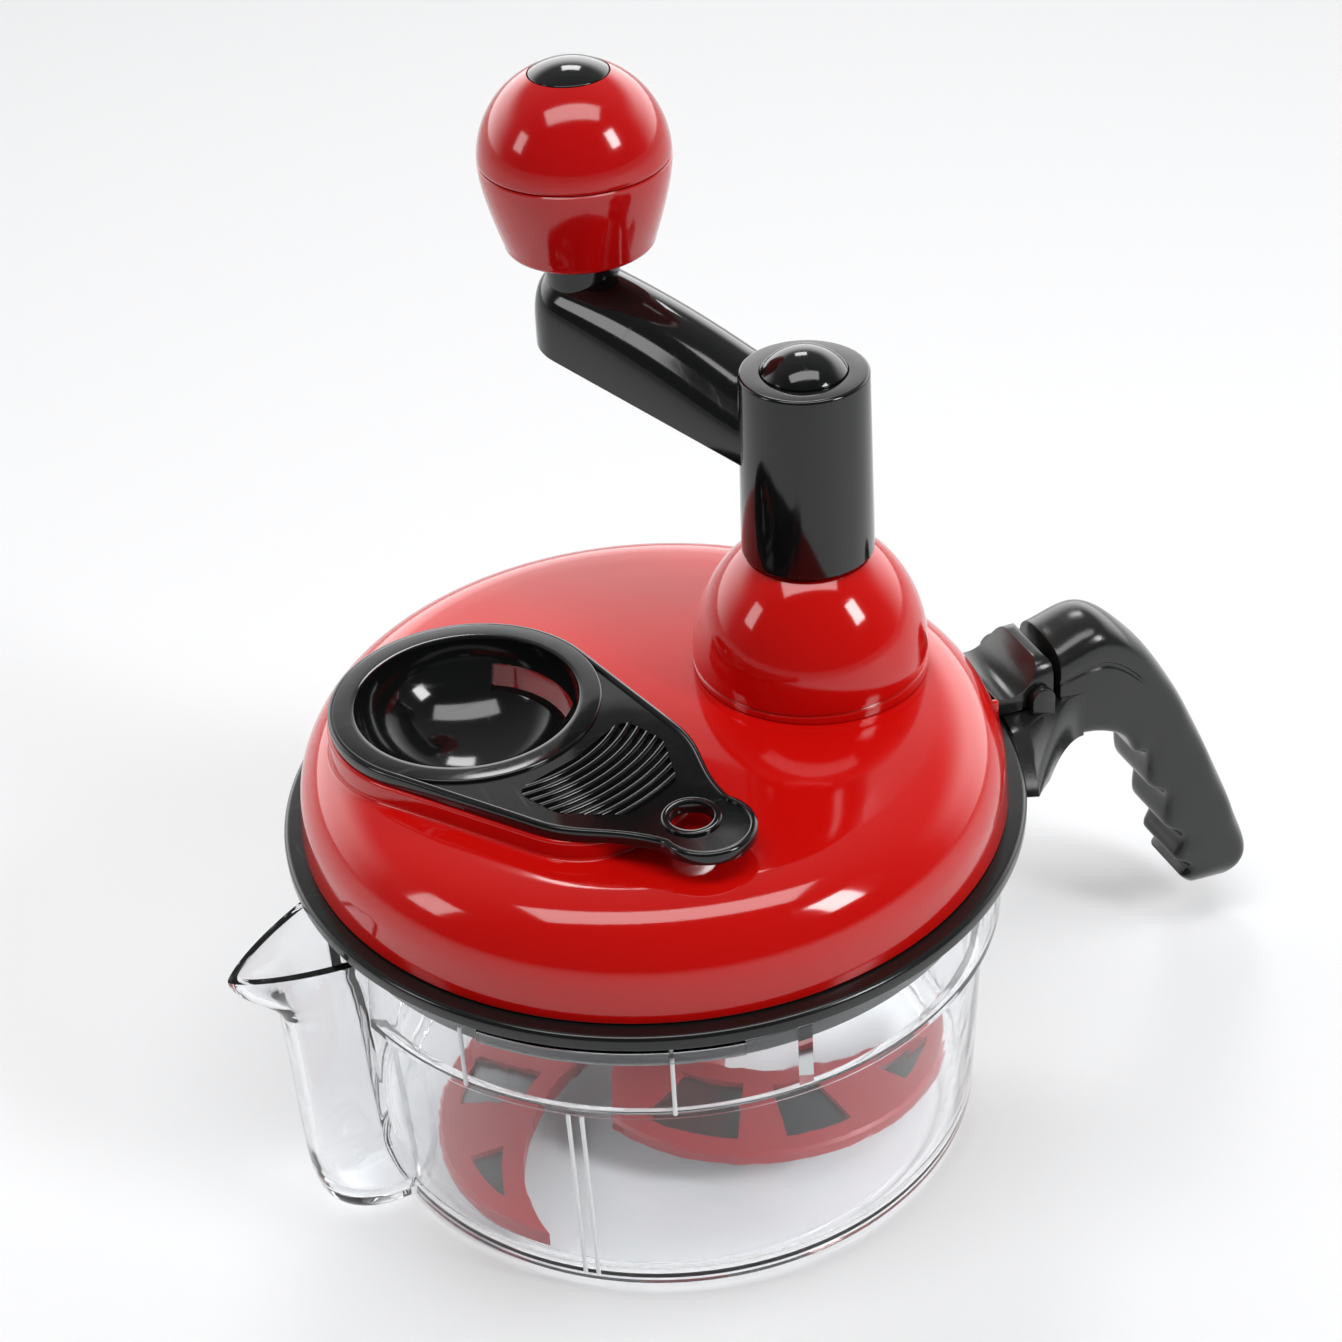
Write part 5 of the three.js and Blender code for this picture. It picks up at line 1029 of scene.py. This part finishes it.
def makeLid():
    foot, reach, top, gear = (lid[key] for key in ("foot", "footRadius", "bossTop", "gearTop"))
    side = lidSide(0, foot)
    edge = softened([(0, foot), (reach, foot, lid["footEdge"]), side[1]], 4)[1:-1]
    made = spun("lidCover", [(0, foot)] + edge + side[1:], steps=192, crease=30)
    carve(made, makeDeck(), "UNION", 30)
    inner, under = reach - lid["wall"], top - lid["bossDeck"]
    inside = [(0, foot - 1), (inner, foot - 1), (inner, foot + lid["footRise"])]
    inside += arc((lid["roomFlat"], lid["roomShoulder"]), lid["roomRound"], 0, lid["roundSweep"], 16)
    inside += [(lid["roomFlat"] * i / 8, lid["roomHeight"] + lid["roomRise"] * (1 - (i / 8) ** 2))
               for i in range(7, -1, -1)]
    carve(made, spun("lidRoom", inside), crease=30)
    carve(made, prism("bossRoom", deckLine(lid["bossWall"]), lid["shoulderHeight"] - 1, under), crease=30)
    place, low = lid["cupPlace"], lid["plateTop"] + lid["gap"]
    added = [rod("chute", lid["chuteRadius"] + lid["chuteWall"], low, top - lid["bossDeck"] / 2, place, 96)]
    for spot in (polar(lid["postReach"], turn) for turn in lid["postTurns"]):
        added.append(rod("post", lid["postRadius"], low, lidSurface(*spot) - lid["postSkin"], spot, 32))
    roof = lid["roomHeight"] + lid["roomRise"] + 0.4
    added.append(rod("pinionBoss", lid["pinionBoss"], gear + 1, roof, steps=32))
    rib = lid["catchRib"]
    for way in (-1, 1):
        middle, half = way * rib["spacing"] / 2, rib["width"] / 2
        bar = block("catchRib", (rib["root"], reach + rib["proud"]), (middle - half, middle + half),
                    (foot, foot + rib["height"]))
        added.append(bevelled(bar, rib["edge"]))
    for piece in added:
        carve(made, piece, "UNION", 30)
    above, shaft = lid["above"], (lid["crankReach"], 0)
    tools = [rod("chuteBore", lid["chuteRadius"], lid["plateTop"] - 1, top + 1, place, 96),
             rod("pinionBore", lid["pinionBore"], gear - 1, lid["pinionBoreTop"], steps=32),
             rod("shaftHole", lid["shaftHole"], gear, above, shaft, 64)]
    holes = [rod("pilot", lid["pilotRadius"], lid["plateTop"] - 1, lid["pilotTop"],
                 polar(lid["postReach"], turn), 20) for turn in lid["postTurns"]]
    for x, y in (polar(lid["screwReach"], turn) for turn in lid["screwTurns"]):
        holes.append(rod("screwHole", lid["screwRadius"], gear, above, (x + lid["crankReach"], y), 20))
    for tool in (*tools, joined("pilots", holes)):
        carve(made, tool, crease=30)
    return dress(made, "redGloss", "lid", "red_gloss", "lid_cover")


makeLid()
print("lid ready")

# Gear plate, plug ring and seal

plug = {
    "plateTop": 91.5, "plateUnder": 89.1, "plateEdge": 0.4, "radius": 80.9, "wall": 2.3,
    "foot": 77.0, "top": 88.8, "footEdge": 0.7, "topEdge": 0.3, "gap": 0.3,
    "sealFoot": 81.0, "sealTop": 84.0, "sealDepth": 1.1, "sealProud": 0.7, "sealRound": 1.2,
    "tubeRadius": 10.85, "tubeBore": 8.85, "tubeFoot": 83.5, "tubeTop": 96.6,
    "bearingRadius": 8.0, "bearingBore": 4.15, "bearingTop": 96.5, "bearingFoot": 91.3, "screwRadius": 1.8,
    "holes": (88, 93), "boreFoot": 80, "above": 99,
}


def makePlate():
    radius, low, high, edge = (plug[key] for key in ("radius", "plateUnder", "plateTop", "plateEdge"))
    side = softened([(0, low), (radius, low, edge), (radius, high, edge), (0, high)])
    made = spun("gearPlate", side, steps=192)
    shaft, above = (lid["crankReach"], 0), plug["above"]
    carve(made, rod("tube", plug["tubeRadius"], plug["tubeFoot"], plug["tubeTop"], steps=64), "UNION")
    bearing = rod("bearing", plug["bearingRadius"], high - 0.5, plug["bearingTop"], shaft, 48)
    carve(made, bearing, "UNION")
    holes = [rod("hole", plug["screwRadius"], *plug["holes"], polar(lid["postReach"], turn), 20)
             for turn in lid["postTurns"]]
    holes.append(rod("tubeBore", plug["tubeBore"], plug["boreFoot"], above, steps=64))
    holes.append(rod("bearingBore", plug["bearingBore"], plug["bearingFoot"], above, shaft, 32))
    holes.append(rod("chuteHole", lid["chuteRadius"], *plug["holes"], lid["cupPlace"], 96))
    carve(made, joined("holes", holes))
    return dress(made, "smokePlastic", "lid", "smoke_plastic", "gear_plate")


def makePlug():
    radius, foot, top, gap = (plug[key] for key in ("radius", "foot", "top", "gap"))
    inner, groove = radius - plug["wall"], radius - plug["sealDepth"]
    low, high = plug["sealFoot"], plug["sealTop"]
    side = softened([
        (inner, foot + 1), (inner, foot, 0.4), (radius, foot, plug["footEdge"]), (radius, low),
        (groove, low), (groove, high), (radius, high), (radius, top, plug["topEdge"]), (inner, top)])
    dress(spun("plugRing", side, steps=192), "smokePlastic", "lid", "smoke_plastic", "plug_ring")
    low, high, back, curve = low + gap, high - gap, groove + gap, plug["sealRound"]
    lip = arc((radius + plug["sealProud"] - curve, (low + high) / 2), curve, -90, 90, 12)
    profile = [(back, low), (radius, low), *lip, (radius, high), (back, high)]
    dress(spun("lidSeal", profile, steps=192, crease=50), "sealRubber", "lid", "seal_rubber", "lid_seal")


makePlate()
makePlug()

# Gear dome, made about the crank's axis and trimmed by the lid

dome = {
    "radius": 28.5, "halfHeight": 33.0, "centre": 121.0, "top": 149.0, "wall": 2.4, "gap": 0.3,
    "grooveDepth": 0.6, "grooveWidth": 0.9, "foot": 102.5, "sleeve": 10.45, "sleeveDrop": 1.2, "bore": 8.25,
    "postReach": 19.5, "postRadius": 3.0, "postTop": 138.5,
    "pilotRadius": 1.6, "pilotFoot": 102, "pilotTop": 128.9, "below": 100, "above": 152,
}


def domeSide(inset, foot, groove):
    a, b, top = (dome[key] - inset for key in ("radius", "halfHeight", "top"))
    middle = dome["centre"]
    last = math.asin(min(1, (top - middle) / b))
    side = [(0, foot), (a, foot)]
    if groove:
        width, depth = dome["grooveWidth"], dome["grooveDepth"]
        side += softened([(a, foot), (a, middle - width, 0.25), (a - depth, middle - width / 2, 0.2),
                          (a, middle, 0.25), (a - 0.02, middle + 1)], 3)[1:-1]
    side += [(a * math.cos(last * i / 40), middle + b * math.sin(last * i / 40)) for i in range(1, 41)]
    return side + [(0, top)]


def makeDome():
    below, foot = dome["below"], dome["foot"]
    made = spun("gearDome", domeSide(0, foot, True), crease=25)
    carve(made, spun("domeRoom", domeSide(dome["wall"], foot - 1, False), steps=96), crease=25)
    spots = [polar(dome["postReach"], turn) for turn in lid["screwTurns"]]
    for spot in spots:
        carve(made, rod("post", dome["postRadius"], foot, dome["postTop"], spot, 24), "UNION", 25)
    seat = spun("lidShape", lidSide(dome["gap"], below), steps=192)
    carve(made, turned(seat, 0, (-lid["crankReach"], 0)), crease=25)
    low, high = lid["flatHeight"] - lid["wall"], dome["top"] - dome["sleeveDrop"]
    sleeve = rod("sleeve", dome["sleeve"], low, high, steps=64)
    carve(made, sleeve, "UNION", 25)
    tools = [rod("bore", dome["bore"], below, dome["above"], steps=64)]
    low, high = dome["pilotFoot"], dome["pilotTop"]
    tools += [rod("pilot", dome["pilotRadius"], low, high, spot, 20) for spot in spots]
    carve(made, joined("bores", tools), crease=25)
    turned(made, 0, (lid["crankReach"], 0))
    return dress(made, "redGloss", "lid", "red_gloss", "gear_dome")


makeDome()
print("plug and dome ready")

# Crank arm: the post, the lever and the neck in one moulding, made about the crank's axis

crank = {
    "foot": 150.15, "top": 196.8, "footRadius": 15.8, "footEdge": 0.5, "topRadius": 15.1, "topRound": 0.8,
    "length": 67.4, "turn": 116.5, "hubHalf": 12.8, "half": 12.4, "stations": 30, "endStations": 14,
    # underside, sides and crown from the top
    "atHub": (-24.2, -20.2, -6.8), "atKnob": (-12.2, -10.4, 7.2),
    "riseShare": 0.72, "riseBlend": 0.5, "floor": 0.92, "floorRise": 0.2, "underEdge": 0.05, "thinnest": 0.3,
    "crownSteps": 24, "crownSquare": (1.1, 0.52), "endLow": 0.7, "endSquare": 0.36,
    "neckRadius": 9.0, "neckTop": 209.3, "neckSink": 8.9, "neckEdge": 0.4,
    "capSeat": 193.0, "capWell": 10.3, "screwSeat": 187.0, "screwWell": 5.5, "screwHole": 2.3,
    "hexAcross": 9.6, "hexTop": 183.7, "pinWell": 4.3, "pinFoot": 187.7,
}


def armRing(along):
    length, half, top = crank["length"], crank["half"], crank["top"]
    share, slope = along / length, along / (length + half)
    narrowing = math.sqrt(max(0, 1 - (max(0, along - length) / half) ** 2))
    width = max(mix(crank["hubHalf"], half, min(1, share)) * narrowing, crank["thinnest"])
    low, side = (top + mix(a, b, slope) for a, b in zip(crank["atHub"][:2], crank["atKnob"][:2]))
    # The crown rises and then turns level without a kink
    rise, blend = share / crank["riseShare"], crank["riseBlend"]
    rise = min(1, rise) - max(0, blend - abs(rise - 1)) ** 2 / (4 * blend)
    crown = top + mix(crank["atHub"][2], crank["atKnob"][2], rise)
    crown = mix(mix(low, side, crank["endLow"]), crown, narrowing ** crank["endSquare"])
    side = min(side, crown)
    floor, foot = crank["floor"] * width, mix(low, side, crank["floorRise"])
    ring = [(floor * 0.97, low), (floor, low + crank["underEdge"]),
            (mix(floor, width, 0.6), mix(low, foot, 0.35)), (width, foot)]
    steps, square = crank["crownSteps"], mix(*crank["crownSquare"], min(1, share) ** 2)
    for i in range(steps + 1):
        angle = math.pi * i / steps
        ring.append((width * math.cos(angle), mix(side, crown, math.sin(angle) ** square)))
    ring += [(-y, z) for y, z in reversed(ring[:4])]
    return [(along, y, z) for y, z in ring]


def makeArm():
    length, foot, top, last = crank["length"], crank["foot"], crank["top"], crank["endStations"]
    stations = [length * i / crank["stations"] for i in range(crank["stations"])]
    stations += [length + crank["half"] * math.sin(math.pi / 2 * i / last) for i in range(last + 1)]
    made = spun("crankArm", softened([
        (0, foot), (crank["footRadius"], foot, crank["footEdge"]),
        (crank["topRadius"], top, crank["topRound"]), (0, top)], 6), steps=128)
    carve(made, lofted("lever", [armRing(along) for along in stations], 32), "UNION")
    radius, edge, high = crank["neckRadius"], crank["neckEdge"], crank["neckTop"]
    low = top + crank["atKnob"][2] - crank["neckSink"]
    neck = [(0, low), (radius, low), (radius, high - edge), (radius - edge, high), (0, high)]
    carve(made, spun("neck", neck, (length, 0), 72), "UNION")
    hexTop, seat, well = crank["hexTop"], crank["screwSeat"], crank["capSeat"]
    tools = [prism("socket", hexagon(crank["hexAcross"]), foot - 1, hexTop),
             rod("screwHole", crank["screwHole"], hexTop - 1, seat + 1, steps=24),
             rod("screwWell", crank["screwWell"], seat, well + 1),
             rod("capWell", crank["capWell"], well, top + 1, steps=72),
             rod("pinWell", crank["pinWell"], crank["pinFoot"], high + 1, (length, 0))]
    for tool in tools:
        carve(made, tool)
    turned(made, crank["turn"], (lid["crankReach"], 0))
    return dress(made, "blackGloss", "crank", "black_gloss", "crank_arm")


makeArm()

# Domed caps on the post and on the knob

caps = {
    "hubCap": {"radius": 10.0, "foot": 193.3, "edge": 197.3, "rise": 4.9},
    "knobCap": {"radius": 9.4, "foot": 251.382, "edge": 252.782, "rise": 2.59},
    "chamfer": 0.3, "rimRound": 0.35,
}


def makeCap(name, centre, body, node):
    radius, foot, edge, rise = (caps[name][key] for key in ("radius", "foot", "edge", "rise"))
    ball = (radius ** 2 + rise ** 2) / (2 * rise)
    start = math.degrees(math.acos(radius / ball))
    side = arc((0, edge + rise - ball), ball, start, 90, 20)
    profile = [(0, foot), (radius - caps["chamfer"], foot), (radius, foot + caps["chamfer"])]
    profile += softened([(radius, edge - 1), (*side[0], caps["rimRound"]), side[2]], 4)[1:-1] + side[2:]
    return dress(spun(node, profile, centre, 96), "blackGloss", body, "black_gloss", node)


knobX, knobY = polar(crank["length"], crank["turn"])
knobPlace = (lid["crankReach"] + knobX, knobY)
makeCap("hubCap", (lid["crankReach"], 0), "crank", "hub_cap")
makeCap("knobCap", knobPlace, "knob", "knob_cap")

# Knob: two shells that meet at a seam

knob = {
    "foot": 209.6, "seam": 231.9, "radius": 22.9, "footRadius": 18.2, "footRound": 1.8, "bulge": 0.72,
    "wall": 2.4, "tubeWall": 2.6, "bore": 4.35, "capWell": 9.7, "shelf": 248.88, "shelfThickness": 2.4,
    "gap": 0.3, "seamRound": 0.3, "seamTurn": 1.6,
}


def knobSide(inset, seam):
    foot, reach = knob["foot"], knob["radius"] - inset
    start = (knob["footRadius"] - inset, foot + knob["footRound"] + inset)
    return curved(start, (reach, mix(foot, seam, knob["bulge"])), (reach, seam), 24)


def makeKnob():
    foot, radius, wall, bore, edge = (knob[key] for key in ("foot", "radius", "wall", "bore", "seamRound"))
    middle, rounding, seam = knob["seam"], knob["footRound"], knob["seam"] - knob["gap"] / 2
    outer = knobSide(0, seam)[:-1] + [(radius, seam - edge)]
    rolled = arc((knob["footRadius"] - rounding, foot + rounding), rounding, -90, 0, 6)
    cavity, tube = foot + wall + rounding, bore + knob["tubeWall"]
    line = [(bore, foot), *rolled[:-1], *outer, (radius - edge, seam), *reversed(knobSide(wall, seam)),
            (tube, cavity), (tube, seam), (bore, seam)]
    lower = turned(spun("knobLower", line, steps=112), 0, knobPlace)
    dress(lower, "knobRed", "knob", "red_gloss", "knob_lower")
    seam = middle + knob["gap"] / 2
    shelf, well, inside = knob["shelf"], knob["capWell"], radius - wall
    under = shelf - knob["shelfThickness"]
    outer = arc((0, middle), radius, knob["seamTurn"], math.degrees(math.acos(well / radius)), 30)
    shelfAngle = math.degrees(math.asin((under - middle) / inside))
    inner = [(r, max(z, seam)) for r, z in arc((0, middle), inside, shelfAngle, 0, 20)]
    line = [(radius - edge, seam), *outer, (well, shelf), (bore, shelf), (bore, under), *inner]
    upper = turned(spun("knobUpper", line, steps=112), 0, knobPlace)
    dress(upper, "knobRed", "knob", "red_gloss", "knob_upper")


makeKnob()
print("crank and knob ready")

# Egg separator: a tray with a cup, a recessed grip with ribs and a hanging hole

tray = {
    "low": 122.8, "high": 125.2, "rimRise": 0.8, "rimWidth": 1.7,
    "cupWall": 1.7, "cupDepth": 20.0075, "cupSteps": 22,
    # the rim's section: inset and distance from the tray's underside, and twice from the rim's top
    "rimFoot": ((0.45, 0), (0.12, 0.12), (0, 0.45)),
    "rimOutside": ((0, 0.9), (0.07, 0.56), (0.27, 0.26), (0.56, 0.07), (0.9, 0)),
    "rimInside": ((0.55, 0), (0.3, 0.04), (0.1, 0.2)),
    # the rolled lip of the cup and the hole: out from the edge and up from the rim's top
    "lip": ((0, -0.35), (0.12, -0.12), (0.4, 0.02)), "above": 2,
    "slotSweep": 66.0, "slotInner": 15.0, "slotLow": 11.7, "slotHigh": 6.2, "slotEdge": 0.4,
    "holeAlong": 71.02, "hole": 5.0085, "holeRim": 1.8, "rimRound": 0.5,
    "collarWidth": 5.4, "collarRound": 0.6,
    # along, across and corner radius of the grip's recess, from its side by the cup to the tab's
    "panel": ((35.4, 0), (33.6, 17.8, 3), (46.5, 17.6, 6), (59.0, 8.5, 4), (60.4, 0)), "panelDepth": 0.9,
    "ribs": 9, "ribStart": 37.2, "ribPitch": 2.62, "ribSweep": 70.0, "ribWidth": 1.25, "ribTop": 125.4,
    "ribSink": 0.4, "ribRound": 0.5,
}


def hollow(radius, sink):
    # Half the section of the cup, from its lowest point up to its edge
    steps, high = tray["cupSteps"], tray["high"]
    turns = [math.pi / 2 * (i / steps - 1) for i in range(1, steps + 1)]
    return [(0, high - sink)] + [(radius * math.cos(turn), high + sink * math.sin(turn)) for turn in turns]


def lipped(radius):
    top = tray["high"] + tray["rimRise"]
    line = [(radius + out, top + up) for out, up in tray["lip"]]
    return line + [(line[-1][0], top + tray["above"]), (0, top + tray["above"])]


def trayPlate():
    low, top, width = tray["low"], tray["high"] + tray["rimRise"], tray["rimWidth"]
    levels = [(inset, low + up) for inset, up in tray["rimFoot"]]
    levels += [(inset, top - down) for inset, down in tray["rimOutside"]]
    levels += [(width - inset, top - down) for inset, down in tray["rimInside"]]
    levels.append((width, tray["high"]))
    rings = [[(x, y, z) for x, y in teardropLine(inset, "tab")] for inset, z in levels]
    return lofted("eggSeparator", rings, 30, True)


def cupSlots():
    slots, high = [], tray["high"]
    for middle in (90, -90):
        start, end = middle - tray["slotSweep"] / 2, middle + tray["slotSweep"] / 2
        line = arc((0, 0), lid["chuteRadius"] + 1, start, end, 24)
        line += arc((0, 0), tray["slotInner"], end, start, 24)
        slot = prism("slot", line, high - tray["slotLow"], high - tray["slotHigh"])
        slots.append(bevelled(slot, tray["slotEdge"]))
    return joined("slots", slots)


def makeTray():
    low, high, rise, edge, hole = (tray[key] for key in ("low", "high", "rimRise", "rimRound", "hole"))
    cup, depth, wall, top = lid["cupRadius"], tray["cupDepth"], tray["cupWall"], high + rise
    made = trayPlate()
    outer = hollow(cup + wall, depth + wall)
    outer += softened([outer[-1], (cup + wall, top, edge), (cup, top)], 5)[1:-1] + [(0, top)]
    carve(made, spun("cupSkin", outer, steps=128), "UNION", 30)
    flange, under = cup + tray["collarWidth"], low + 0.6
    band = softened([(cup - 1, under), (flange, under), (flange, top, tray["collarRound"]),
                     (cup - 1, top)], 6)
    carve(made, spun("cupBand", band, steps=128), "UNION", 30)
    spot, reach = (tray["holeAlong"], 0), hole + tray["holeRim"]
    rim = softened([(0, high - rise), (reach, high - rise), (reach, top, edge), (0, top)], 5)
    carve(made, spun("holeRim", rim, spot, 64), "UNION", 30)
    carve(made, spun("cupRoom", hollow(cup, depth) + lipped(cup), steps=128), crease=30)
    carve(made, spun("hole", [(0, low - 1), (hole, low - 1)] + lipped(hole), spot, 64), crease=30)
    side = softened(tray["panel"], 6)
    panel = side + [(x, -y) for x, y in reversed(side[1:-1])]
    floor, above = high - tray["panelDepth"], top + tray["above"]
    carve(made, prism("panel", panel, floor, above), crease=30)
    carve(made, cupSlots(), crease=30)
    ribFoot, ribTop, sweep = floor - tray["ribSink"], tray["ribTop"], math.radians(tray["ribSweep"])
    ribs = barsAlongArcs("gripRibs", {
        "Count": tray["ribs"], "First Radius": tray["ribStart"] * mm, "Radius Step": tray["ribPitch"] * mm,
        "Start": -sweep / 2, "Sweep": sweep,
        "Width": tray["ribWidth"] * mm, "Height": (ribTop - ribFoot) * mm, "Round": tray["ribRound"] * mm,
    }, "blackGloss")
    ribs.data.transform(Matrix.Translation((0, 0, (ribTop + ribFoot) / 2 * mm)))
    carve(ribs, prism("ribArea", panel, low, above), "INTERSECT")
    carve(made, ribs, "UNION", 30)
    turned(made, lid["cupTurn"], lid["cupPlace"])
    return dress(made, "blackGloss", "separator", "black_gloss", "egg_separator")


makeTray()
print("separator ready")

# Blades, their guards and the hub that holds them; each is drawn with its tip along +X

blades = {
    "reach": 70.6, "blunt": 1.4, "thickness": 1.2, "edgeWidth": 3.0, "edgeThickness": 0.12, "gap": 0.3,
    "low": 8.0, "pitch": 6.0, "turns": (-143.0, -22.0, 98.0),
    # middles, radius and heel as shares of the reach
    "outerMiddle": (0.3, 0.057), "outerRadius": 0.7, "innerMiddle": (0.385, 0.439), "heel": -0.177,
    "notch": 51.624, "eye": 11.0, "bore": 6.4,
    "guardMargin": 2.3, "guardThickness": 4.2, "guardRound": 0.8, "windowMargin": 3.0,
    "windows": ((-128.0, -96.0), (-81.0, -60.0), (-36.0, -8.0)),
}


def scaled(key):
    return [share * blades["reach"] for share in blades[key]]


def crescent(name, grow, low, high, edge=0, rounding=0):
    # Between two circles, with the heel cut straight; edge thins its outer rim to a cutting edge
    reach, level = blades["reach"], (low + high) / 2
    radius = blades["outerRadius"] * reach + grow
    half = (blades["edgeThickness"] / 2) if edge else (high - low) / 2 - rounding
    inset = edge or rounding
    side = [(0, low), (radius - inset, low), (radius, level - half), (radius, level + half),
            (radius - inset, high), (0, high)]
    made = spun(name, side, scaled("outerMiddle"), 160, 20)
    blunt = reach - blades["blunt"] + grow
    carve(made, rod("tip", blunt, low - 1, high + 1, steps=160), "INTERSECT", 20)
    notch = rod("notch", blades["notch"] - grow, low - 1, high + 1, scaled("innerMiddle"), 160)
    carve(made, notch, crease=20)
    heel = blades["heel"] * reach - grow
    past = block("heel", (-2 * reach, heel), (-2 * reach, 2 * reach), (low - 1, high + 1))
    return carve(made, past, crease=20)


def bladeBlank(name, grow, low, high, edge=0):
    made = crescent(name, grow, low, high, edge)
    carve(made, rod("eye", blades["eye"] + grow, low, high, steps=72), "UNION", 20)
    return carve(made, rod("bore", blades["bore"] - grow, low - 1, high + 1, steps=48), crease=20)


def makeGuard():
    reach, margin, gap = blades["reach"], blades["guardMargin"], blades["gap"]
    half = blades["guardThickness"] / 2
    made = crescent("guard", margin, -half, half, 0, blades["guardRound"])
    pocket, heel = blades["thickness"] / 2 + gap, blades["heel"] * reach + gap
    tools = [crescent("pocket", gap, -pocket, pocket),
             block("heelOpen", (-2 * reach, heel), (-2 * reach, 2 * reach), (-pocket, pocket)),
             rod("hubRoom", hub["radius"] + gap, -half - 1, half + 1, steps=72)]
    middle, inset = scaled("outerMiddle"), blades["windowMargin"]
    for start, end in blades["windows"]:
        line = arc(middle, blades["outerRadius"] * reach - inset, start, end, 24)
        line += arc(middle, margin, end, start, 8)
        hole = prism("window", line, -half - 1, half + 1)
        tools.append(carve(hole, crescent("windowShape", -inset, -half - 1, half + 1), "INTERSECT"))
    for tool in tools:
        carve(made, tool, crease=20)
    return made


def makeBlades():
    half = blades["thickness"] / 2
    sources = {
        "blade": (bladeBlank("bladeBlank", 0, -half, half, blades["edgeWidth"]), "bladeSteel", "blade_steel"),
        "blade_guard": (makeGuard(), "guardRed", "guard_red"),
    }
    for i, turn in enumerate(blades["turns"]):
        for kind, (source, finish, slot) in sources.items():
            made = newObject(f"{kind}{i + 1}", source.data.copy())
            turned(made, turn, lift=blades["low"] + i * blades["pitch"])
            dress(made, finish, "blades", slot, f"{kind}_{i + 1}")
    for source, finish, slot in sources.values():
        bpy.data.objects.remove(source)


hub = {
    "bore": 3.35, "foot": 4.7, "radius": 14.0, "collarTop": 24.0, "waist": 10.6, "socketFloor": 57.0,
    "grip": 12.0, "top": 75.0, "hexAcross": 10.0,
}


def makeHub():
    bore, foot, radius, waist, step, floor, top = (hub[key] for key in (
        "bore", "foot", "radius", "waist", "collarTop", "socketFloor", "top"))
    made = spun("bladeHub", softened([
        (bore, foot + 1), (bore, foot, 0.3), (radius, foot, 0.6), (radius, step, 1.2),
        (waist, step + radius - waist, 1.5), (waist, floor, 3), (hub["grip"], top, 0.6),
        (bore, top), (bore, foot + 1)], 5)[:-1], steps=96)
    carve(made, prism("socket", hexagon(hub["hexAcross"]), floor, top + 1))
    half = blades["thickness"] / 2 + blades["gap"]
    for i, turn in enumerate(blades["turns"]):
        slot = bladeBlank("slot", blades["gap"], -half, half)
        carve(made, turned(slot, turn, lift=blades["low"] + i * blades["pitch"]))
    return dress(made, "guardRed", "blades", "guard_red", "blade_hub")


makeBlades()
makeHub()
print("blades ready")

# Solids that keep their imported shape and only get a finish

kept = {
    "gearNylon": ["drive_gear", "drive_pinion"],
    "bushNylon": ["pinion_bush", "shaft_bush"],
    "spindleSteel": ["crank_shaft", "knob_pin", "blade_spindle"],
    "screwSteel": ["gear_washer", "crank_screw", "handle_screw_1", "handle_screw_2",
                   "plate_screw_1", "plate_screw_2", "plate_screw_3", "plate_screw_4",
                   "dome_screw_1", "dome_screw_2", "dome_screw_3"],
}
for finish, nodes in kept.items():
    for node in nodes:
        part = bpy.data.objects[node]
        part.data.materials.clear()
        part.data.materials.append(look[finish])
